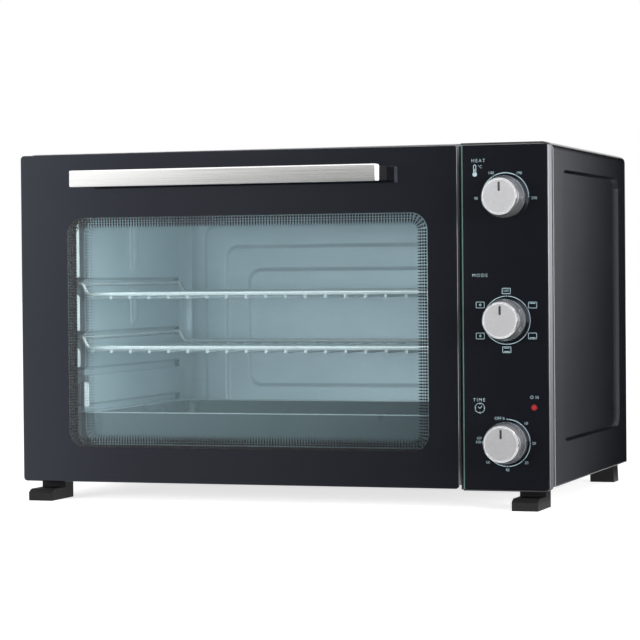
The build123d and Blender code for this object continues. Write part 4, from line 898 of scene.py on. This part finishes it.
def handle_bar():
    """Closed bar with round front corners, in the place of the plain one."""
    low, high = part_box("handle_bar")
    bm = bmesh.new()
    plan = [(high.x, high.y), (low.x, high.y)]
    for x, start in ((low.x + HANDLE_END * MM, 180), (high.x - HANDLE_END * MM, 270)):
        for a in quarter(start):
            plan.append((x + HANDLE_END * MM * math.cos(a), low.y + HANDLE_END * MM * (1 + math.sin(a))))
    rings = [[bm.verts.new((x, y, z)) for x, y in plan] for z in (low.z, high.z)]
    caps = [bm.faces.new(ring) for ring in rings]
    join_rings(bm, *rings)
    bmesh.ops.recalc_face_normals(bm, faces=bm.faces)
    rim = [edge for cap in caps for edge in cap.edges]
    bmesh.ops.bevel(
        bm, geom=rim, offset=HANDLE_EDGE * MM, segments=HANDLE_EDGE_STEPS, profile=0.5, affect="EDGES",
    )
    for face in bm.faces:
        face.smooth = True
    mesh = made_mesh("rounded_handle_bar", bm)
    mesh.set_sharp_from_angle(angle=HANDLE_SHARP)
    bar = add_piece("rounded_handle_bar", mesh, "door", finishes["handle_steel"])
    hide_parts("handle_bar")


handle_bar()

# Strip behind the gap between the door and the control panel, set out from its neighbours
TRIM_BEHIND_DOOR = 4.0 * MM
TRIM_BEHIND_BEZEL = 1.0 * MM
TRIM_PROUD = 0.8 * MM
TRIM_SUNK = 0.2 * MM
TRIM_BELOW = 1.0 * MM
TRIM_TOP_GAP = 1.5 * MM


def gap_trim():
    """Black strip on the front frame that closes the gap between the door and the control panel."""
    bezel_low, bezel_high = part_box("control_bezel")
    frame_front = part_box("front_frame")[0].y
    door_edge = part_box("door_glass")[1].x
    low = Vector((door_edge - TRIM_BEHIND_DOOR, frame_front - TRIM_PROUD, bezel_low.z - TRIM_BELOW))
    high = Vector((bezel_low.x + TRIM_BEHIND_BEZEL, frame_front + TRIM_SUNK, bezel_high.z - TRIM_TOP_GAP))
    bm = bmesh.new()
    place = Matrix.Translation((low + high) / 2) @ Matrix.Diagonal((*(high - low), 1.0))
    bmesh.ops.create_cube(bm, size=1.0, matrix=place)
    mesh = made_mesh("gap_trim", bm)
    add_piece("gap_trim", mesh, "casing", finishes["black_plastic"])


gap_trim()

# Lugs, painted bright as a highlight, that stand off the side walls just above the baking tray
LUG_HEIGHT = (97.5, 123.5)
LUG_REACH = 8.6
LUG_FRONT = -136.0
LUG_SHEET = 0.9
LUG_FLANGE = 9.0
LUG_CORNER = 2.0
LUG_CORNER_STEPS = 6
LUG_SLANT = 3.0


def side_lugs():
    """Pair of small angle plates: a flange on the wall and a lug that faces the door."""
    bm = bmesh.new()
    low, high = LUG_HEIGHT
    for face_x, inward in ((OVEN_X[0] / MM, 1), (OVEN_X[1] / MM, -1)):
        outline = [(0.0, low), (0.0, high)]
        for middle, start in ((high - LUG_CORNER, 0), (low + LUG_CORNER, -90)):
            for a in reversed(quarter(start, LUG_CORNER_STEPS)):
                x = LUG_REACH - LUG_CORNER + LUG_CORNER * math.cos(a)
                outline.append((x, middle + LUG_CORNER * math.sin(a)))
        flange = [(0.0, low), (0.0, high), (LUG_SHEET, high), (LUG_SHEET, low)]
        bend = LUG_FRONT + LUG_SHEET
        for ring, front, back in ((outline, LUG_FRONT, bend), (flange, bend, LUG_FRONT + LUG_FLANGE)):
            near, far = [], []
            for side, y in ((near, front), (far, back)):
                for x, z in ring:
                    lean = LUG_SLANT * (1 - x / LUG_REACH)
                    side.append(bm.verts.new(((face_x + inward * x) * MM, (y - lean) * MM, z * MM)))
            bm.faces.new(near)
            bm.faces.new(far)
            join_rings(bm, near, far)
    bmesh.ops.recalc_face_normals(bm, faces=bm.faces)
    mesh = made_mesh("side_lugs", bm)
    add_piece("side_lugs", mesh, "casing", finishes["lug_steel"])


side_lugs()

# Print on the control panel: letters, lines of the symbols, and ticks of the dials
NUMBER_HEIGHT = 3.0
TITLE_HEIGHT = 3.5
TITLE_SPREAD = 1.35
TITLE_LEFT = 208.0
CAPITAL_SHARE = 0.73
LETTER_THINNING = 0.015
MARK_LINE = 0.6
SIGN_LINE = 0.5
SIGN_WIDTH = 8.4
TICK_GAP = 1.5
TICK_RADIUS = 0.62
DOT_STEPS = 16
ARC_STEP = 4


class PanelPrint:
    """Collects flat marks on the front of the control panel, in mm along the frame's X and Z."""

    def __init__(self, name):
        self.name = name
        self.mesh = bmesh.new()

    def patch(self, points):
        """Thin raised patch from a ring of (x, z) points."""
        back = [self.mesh.verts.new((x * MM, panel_front, z * MM)) for x, z in points]
        front = [self.mesh.verts.new((x * MM, panel_front - PRINT_THICKNESS, z * MM)) for x, z in points]
        self.mesh.faces.new(front)
        self.mesh.faces.new(back[::-1])
        join_rings(self.mesh, back, front)

    def line(self, start, end, width=MARK_LINE):
        start, end = Vector(start), Vector(end)
        side = (end - start).normalized().orthogonal() * width / 2
        self.patch([start - side, end - side, end + side, start + side])

    def dot(self, centre, radius):
        turns = [2 * math.pi * i / DOT_STEPS for i in range(DOT_STEPS)]
        self.patch([(centre[0] + radius * math.cos(a), centre[1] + radius * math.sin(a)) for a in turns])

    def arc(self, centre, radius, start, end, width):
        """Ring part between two bearings in degrees clockwise from the top."""
        steps = max(2, round(abs(end - start) / ARC_STEP))
        turns = [math.radians(start + (end - start) * i / steps) for i in range(steps + 1)]
        rings = [
            [(centre[0] + r * math.sin(a), centre[1] + r * math.cos(a)) for a in turns]
            for r in (radius - width / 2, radius + width / 2)
        ]
        for i in range(steps):
            self.patch([rings[0][i], rings[0][i + 1], rings[1][i + 1], rings[1][i]])

    def box(self, centre, width, height, line=SIGN_LINE):
        x, z = centre
        w, h = width / 2, height / 2
        self.line((x - w, z + h), (x + w, z + h), line)
        self.line((x - w, z - h), (x + w, z - h), line)
        self.line((x - w, z - h + line / 2), (x - w, z + h - line / 2), line)
        self.line((x + w, z - h + line / 2), (x + w, z + h - line / 2), line)

    def title(self, text, height):
        """Word at the left of a dial, at a height in the panel."""
        self.word(text, (TITLE_LEFT, height), TITLE_HEIGHT, "LEFT", TITLE_SPREAD)

    def word(self, text, place, height=NUMBER_HEIGHT, align="CENTER", spread=1.0):
        """Plain capitals and figures, set by their middle or left end, height of a capital in mm."""
        curve = bpy.data.curves.new(self.name + ".word", "FONT")
        curve.body = text
        curve.size = height / CAPITAL_SHARE
        curve.space_character = spread
        curve.offset = -LETTER_THINNING * height
        curve.align_x = align
        curve.align_y = "CENTER"
        curve.resolution_u = 3
        curve.extrude = PRINT_THICKNESS / MM / 2
        carrier = bpy.data.objects.new(self.name + ".word", curve)
        mesh = bpy.data.meshes.new_from_object(carrier)
        bpy.data.objects.remove(carrier)
        spot = Vector((place[0] * MM, panel_front - PRINT_THICKNESS / 2, place[1] * MM))
        upright = Matrix.Rotation(math.pi / 2, 4, "X")
        mesh.transform(Matrix.Translation(spot) @ upright @ Matrix.Scale(MM, 4))
        self.mesh.from_mesh(mesh)
        bpy.data.meshes.remove(mesh)

    def dial(self, centre, radius, ticks, width):
        """Thin ring between the first and last tick, broken at each tick round a dot."""
        gap = math.degrees(TICK_GAP / radius)
        for bearing, following in zip(ticks, ticks[1:]):
            self.arc(centre, radius, bearing + gap, following - gap, width)
        for bearing in sorted({b % 360 for b in ticks}):
            a = math.radians(bearing)
            self.dot((centre[0] + radius * math.sin(a), centre[1] + radius * math.cos(a)), TICK_RADIUS)

    def add(self):
        bmesh.ops.recalc_face_normals(self.mesh, faces=self.mesh.faces)
        mesh = made_mesh(self.name, self.mesh)
        add_piece(self.name, mesh, "casing", prints["dial"])


def temperature_print():
    """Ring with numbers, a word and a thermometer."""
    p = PanelPrint("temperature_print")
    p.dial(centre=(242.7, 312.0), radius=24.0, ticks=[-90, -30, 30, 90], width=0.8)
    p.word("90", (212.7, 310.9))
    p.word("140", (228.3, 336.0))
    p.word("190", (257.0, 335.4))
    p.word("230", (272.1, 310.4))
    p.title("HEAT", 348.5)
    p.word("°C", (214.6, 342.4), height=3.2, align="LEFT")
    tube, tube_half, tube_low, tube_top = 211.6, 1.2, 337.0, 343.2
    p.arc((tube, tube_top), tube_half, -90, 90, MARK_LINE)
    for side in (tube - tube_half, tube + tube_half):
        p.line((side, tube_low), (side, tube_top))
    p.line((tube, 336.0), (tube, 340.6), width=0.7)
    p.dot((tube, 335.0), radius=2.3)
    p.add()


def function_print():
    """Ring with a word and a framed sign at each step: rods above or below, or the fan."""
    p = PanelPrint("function_print")
    p.dial(centre=(243.4, 189.3), radius=24.0, ticks=[0, 60, 120, 180, 240, 300, 360], width=0.65)
    p.title("MODE", 234.0)
    p.box((243.1, 218.4), SIGN_WIDTH, height=5.4)
    p.word("OFF", (243.1, 218.4), height=2.4)
    rod_reach, rod_rise, blade_reach = 2.8, 1.7, 1.5
    # Place of each sign, its rods above (1) and below (-1), and whether it shows the fan
    modes = (
        (269.9, 204.3, (1,), False), (269.6, 173.6, (-1,), False), (243.2, 159.9, (1, -1), False),
        (216.0, 173.6, (), True), (216.2, 204.6, (), True),
    )
    for x, z, rods, fan in modes:
        p.box((x, z), SIGN_WIDTH, height=5.8)
        for side in rods:
            p.line((x - rod_reach, z + side * rod_rise), (x + rod_reach, z + side * rod_rise))
        for bearing in (30, 90, 150) if fan else ():
            a = math.radians(bearing)
            spoke = blade_reach * Vector((math.cos(a), math.sin(a)))
            p.line(Vector((x, z)) - spoke, Vector((x, z)) + spoke, SIGN_LINE)
    p.add()


def timer_print():
    """Ring with minutes, a word and a clock, and the word over the power lamp."""
    p = PanelPrint("timer_print")
    p.dial(centre=(243.0, 67.0), radius=23.5, ticks=[0, 45, 90, 135, 180, 225, 270], width=0.7)
    numbers = (
        ("OFF 0", (235.2, 91.3)), ("10", (262.2, 86.6)), ("20", (270.2, 66.8)), ("30", (262.5, 47.3)),
        ("40", (243.0, 40.0)), ("50", (223.0, 47.2)), ("60/", (214.4, 71.4)), ("MIN", (214.4, 67.2)),
    )
    for text, place in numbers:
        p.word(text, place)
    p.title("TIME", 109.6)
    clock = Vector((215.1, 101.6))
    p.arc(clock, radius=4.9, start=0, end=360, width=0.45)
    for bearing in range(0, 360, 90):
        a = math.radians(bearing)
        spoke = Vector((math.sin(a), math.cos(a)))
        p.line(clock + 3.7 * spoke, clock + 4.7 * spoke)
    hub = (215.1, 101.2)
    for hand in ((217.3, 103.6), (213.3, 103.0)):
        p.line(hub, hand)
    p.word("ON", (271.0, 112.5), height=3.4, spread=1.7)
    p.add()


temperature_print()
function_print()
timer_print()

# Pointer of a dial: distance from the cap's top, length, half width, how far it stands out and goes in
POINTER_INSET = 2.6 * MM
POINTER_LENGTH = 9.4 * MM
POINTER_HALF = 1.15 * MM
POINTER_PROUD = 0.05 * MM
POINTER_SUNK = 0.38 * MM
POINTER_STEPS = 8


def pointer(name, body, cap):
    """Black bar let into the groove of a dial's cap, rounded at its ends."""
    low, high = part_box(cap)
    centre_x = (low.x + high.x) / 2
    top = high.z - POINTER_INSET
    bottom = top - POINTER_LENGTH
    face = low.y - POINTER_PROUD
    seat = low.y + POINTER_SUNK
    ring = []
    for end_z, start in ((top - POINTER_HALF, 0), (bottom + POINTER_HALF, 180)):
        for i in range(POINTER_STEPS + 1):
            a = math.radians(start + 180 * i / POINTER_STEPS)
            ring.append((centre_x + POINTER_HALF * math.cos(a), end_z + POINTER_HALF * math.sin(a)))
    bm = bmesh.new()
    back = [bm.verts.new((x, seat, z)) for x, z in ring]
    front = [bm.verts.new((x, face, z)) for x, z in ring]
    bm.faces.new(back)
    bm.faces.new(front)
    join_rings(bm, back, front)
    bmesh.ops.recalc_face_normals(bm, faces=bm.faces)
    mesh = made_mesh(name, bm)
    add_piece(name, mesh, body, finishes["black_plastic"])


for dial in DIALS:
    pointer(dial + "_pointer", dial + "_dial", dial + "_knob_cap")

# Studio: white floor and sky, three lamps, and cards that only show in the gloss
CAMERA_SPOT = Vector((0.8627, -2.5858, 0.2352))
CAMERA_AZIMUTH = math.radians(18.653)
CAMERA_DROP = math.radians(1.0144)
CAMERA_ROLL = math.radians(-0.510)
CAMERA_LENS = 140.57
CAMERA_SENSOR = 36
FLOOR_SPAN = (-20, 20)
CARD_FRONT = -3.0
CARD_REAR = 0.55
CARD_LIFT = 0.003
FRONT_CARD_X = (-4, 3)
FRONT_CARD_TOP = 1.8
FLOOR_CARD_END = -0.25
SIDE_CARD_X = (0.28, 1.6)
SIDE_CARD_TOP = 1.4
SIDE_FLOOR_X = (0.289, 1.6)
SIDE_FLOOR_START = -0.17
TOP_CARD_X = (-2.5, 2.5)
TOP_CARD_END = -0.8
TOP_CARD_HEIGHT = 2.2


def place_camera():
    """Camera at the place and turn that were fitted to the photograph's edges."""
    right = Vector((math.cos(CAMERA_AZIMUTH), math.sin(CAMERA_AZIMUTH), 0))
    ahead = Vector((-math.sin(CAMERA_AZIMUTH), math.cos(CAMERA_AZIMUTH), 0)) * math.cos(CAMERA_DROP)
    ahead.z = -math.sin(CAMERA_DROP)
    up = right.cross(ahead)
    turned = math.cos(CAMERA_ROLL) * right + math.sin(CAMERA_ROLL) * up
    top = math.cos(CAMERA_ROLL) * up - math.sin(CAMERA_ROLL) * right
    lens = bpy.data.cameras.new("camera")
    lens.lens = CAMERA_LENS
    lens.sensor_width = CAMERA_SENSOR
    camera = bpy.data.objects.new("camera", lens)
    bpy.context.scene.collection.objects.link(camera)
    stand = Matrix((turned, top, -ahead)).transposed().to_4x4()
    stand.translation = CAMERA_SPOT
    camera.matrix_world = stand
    bpy.context.scene.camera = camera


def seen_directly(f):
    """1 for rays from the camera and those that mirrors and glass send on."""
    names = ("Is Camera Ray", "Is Glossy Ray", "Is Transmission Ray")
    camera, gloss, glass = (f.node("ShaderNodeLightPath", out=name) for name in names)
    return camera.most(gloss).most(glass)


def sky():
    """White to the eye, dimmer as a light."""
    f = Finish("sky", world=True)
    strength = seen_directly(f).ease(0, 1, 0.6, 1.0)
    return f.done(f.node("ShaderNodeBackground", None, {"Color": (1, 1, 1, 1), "Strength": strength}))


def add_stage(name, corners, material, glossy_only=False):
    """Flat sheet of the studio, which may show in the gloss alone."""
    mesh = bpy.data.meshes.new(name)
    mesh.from_pydata(corners, [], [range(len(corners))])
    mesh.materials.append(material)
    stage = bpy.data.objects.new(name, mesh)
    bpy.context.scene.collection.objects.link(stage)
    if glossy_only:
        stage.visible_camera = False
        stage.visible_diffuse = False
        stage.visible_shadow = False
        stage.visible_transmission = False
        stage.visible_volume_scatter = False


def floor_finish():
    """White floor: a little of its own light for the eye, so it is white but keeps the shadow."""
    f = Finish("floor")
    return f.done(f.gloss(
        Base_Color=(0.72, 0.72, 0.72), Roughness=0.9, Specular_IOR_Level=0.0,
        Emission_Color=(1, 1, 1), Emission_Strength=seen_directly(f) * 0.68,
    ))


def glow(f, strength, colour=(1, 1, 1)):
    return f.done(f.node("ShaderNodeEmission", None, {"Color": (*colour, 1.0), "Strength": strength}))


def card_finish():
    """Soft front light that fades from the left to the right, set out as the door's glass mirrors it."""
    f = Finish("front_card")
    far = (door_front - f.place("Y")) / (door_front - CAMERA_SPOT.y)
    across = (f.place("X") + CAMERA_SPOT.x * far) / (1.0 + far)
    steps = ((0.12, 0.27, 0.18), (-0.15, 0.22, 0.50), (-0.40, -0.10, 1.0))
    fade = 0.15
    for start, end, drop in steps:
        fade = across.ease(start, end, drop, 0.0) + fade
    height = f.place("Z").ease(0.0, 0.55, 0.85, 1.0)
    right = f.place("X").ease(-0.2, 0.1, 0.0, 2.0) * (1.0 - f.place("Y").over(-2.5))
    return glow(f, fade * height + right)


def side_card_finish():
    """Dark card at the right rear, lighter to its right, set out as the casing's side mirrors it."""
    f = Finish("side_card")
    eye_x = 2 * cad_box[1].x - CAMERA_SPOT.x
    reach = (CARD_REAR - CAMERA_SPOT.y) / (f.place("Y") - CAMERA_SPOT.y)
    across = (f.place("X") - eye_x) * reach + eye_x
    shine = across.ease(0.36, 0.53, 0.0, 0.67) * f.place("Z").ease(0.0, 0.4, 0.5, 1.0)
    return glow(f, shine, (0.95, 0.97, 1.05))


def top_card_finish():
    """Strip of light overhead, for the highlights along bars and edges."""
    return glow(Finish("top_card"), 3.0)


def add_lamp(name, spot, aim, width, height, watts):
    """Soft lamp that isn't mirrored itself: the cards are."""
    lamp = bpy.data.lights.new(name, "AREA")
    lamp.shape = "RECTANGLE"
    lamp.size = width
    lamp.size_y = height
    lamp.energy = watts
    holder = bpy.data.objects.new(name, lamp)
    bpy.context.scene.collection.objects.link(holder)
    holder.visible_glossy = False
    turn = (Vector(aim) - Vector(spot)).to_track_quat("-Z", "Y")
    holder.matrix_world = Matrix.Translation(spot) @ turn.to_matrix().to_4x4()


def standing(x, y, z):
    """Corners of an upright sheet, parallel to the door."""
    return [(x[0], y, z[0]), (x[1], y, z[0]), (x[1], y, z[1]), (x[0], y, z[1])]


def lying(x, y, z):
    """Corners of a level sheet."""
    return [(x[0], y[0], z), (x[1], y[0], z), (x[1], y[1], z), (x[0], y[1], z)]


def build_studio():
    place_camera()
    scene = bpy.context.scene
    scene.view_settings.view_transform = "Standard"
    scene.world = sky()
    add_stage("floor", lying(FLOOR_SPAN, FLOOR_SPAN, 0), floor_finish())
    card = card_finish()
    add_stage("front_card", standing(FRONT_CARD_X, CARD_FRONT, (0, FRONT_CARD_TOP)), card, True)
    add_stage("floor_card", lying(FRONT_CARD_X, (CARD_FRONT, FLOOR_CARD_END), CARD_LIFT), card, True)
    side = side_card_finish()
    add_stage("side_card", standing(SIDE_CARD_X, CARD_REAR, (0, SIDE_CARD_TOP)), side, True)
    floor_side = lying(SIDE_FLOOR_X, (SIDE_FLOOR_START, CARD_REAR), CARD_LIFT)
    add_stage("side_floor_card", floor_side, side, True)
    top = lying(TOP_CARD_X, (CARD_FRONT, TOP_CARD_END), TOP_CARD_HEIGHT)
    add_stage("top_card", top, top_card_finish(), True)
    add_lamp("key", spot=(-1.3, -2.7, 0.5), aim=(0, 0, 0.2), width=1.8, height=0.8, watts=82)
    add_lamp("front", spot=(0.6, -3.2, 0.2), aim=(-0.05, 0.1, 0.2), width=1.4, height=0.3, watts=30)
    add_lamp("right", spot=(2.6, -1.2, 0.6), aim=(0.1, -0.19, 0.25), width=1.0, height=0.8, watts=85)


build_studio()
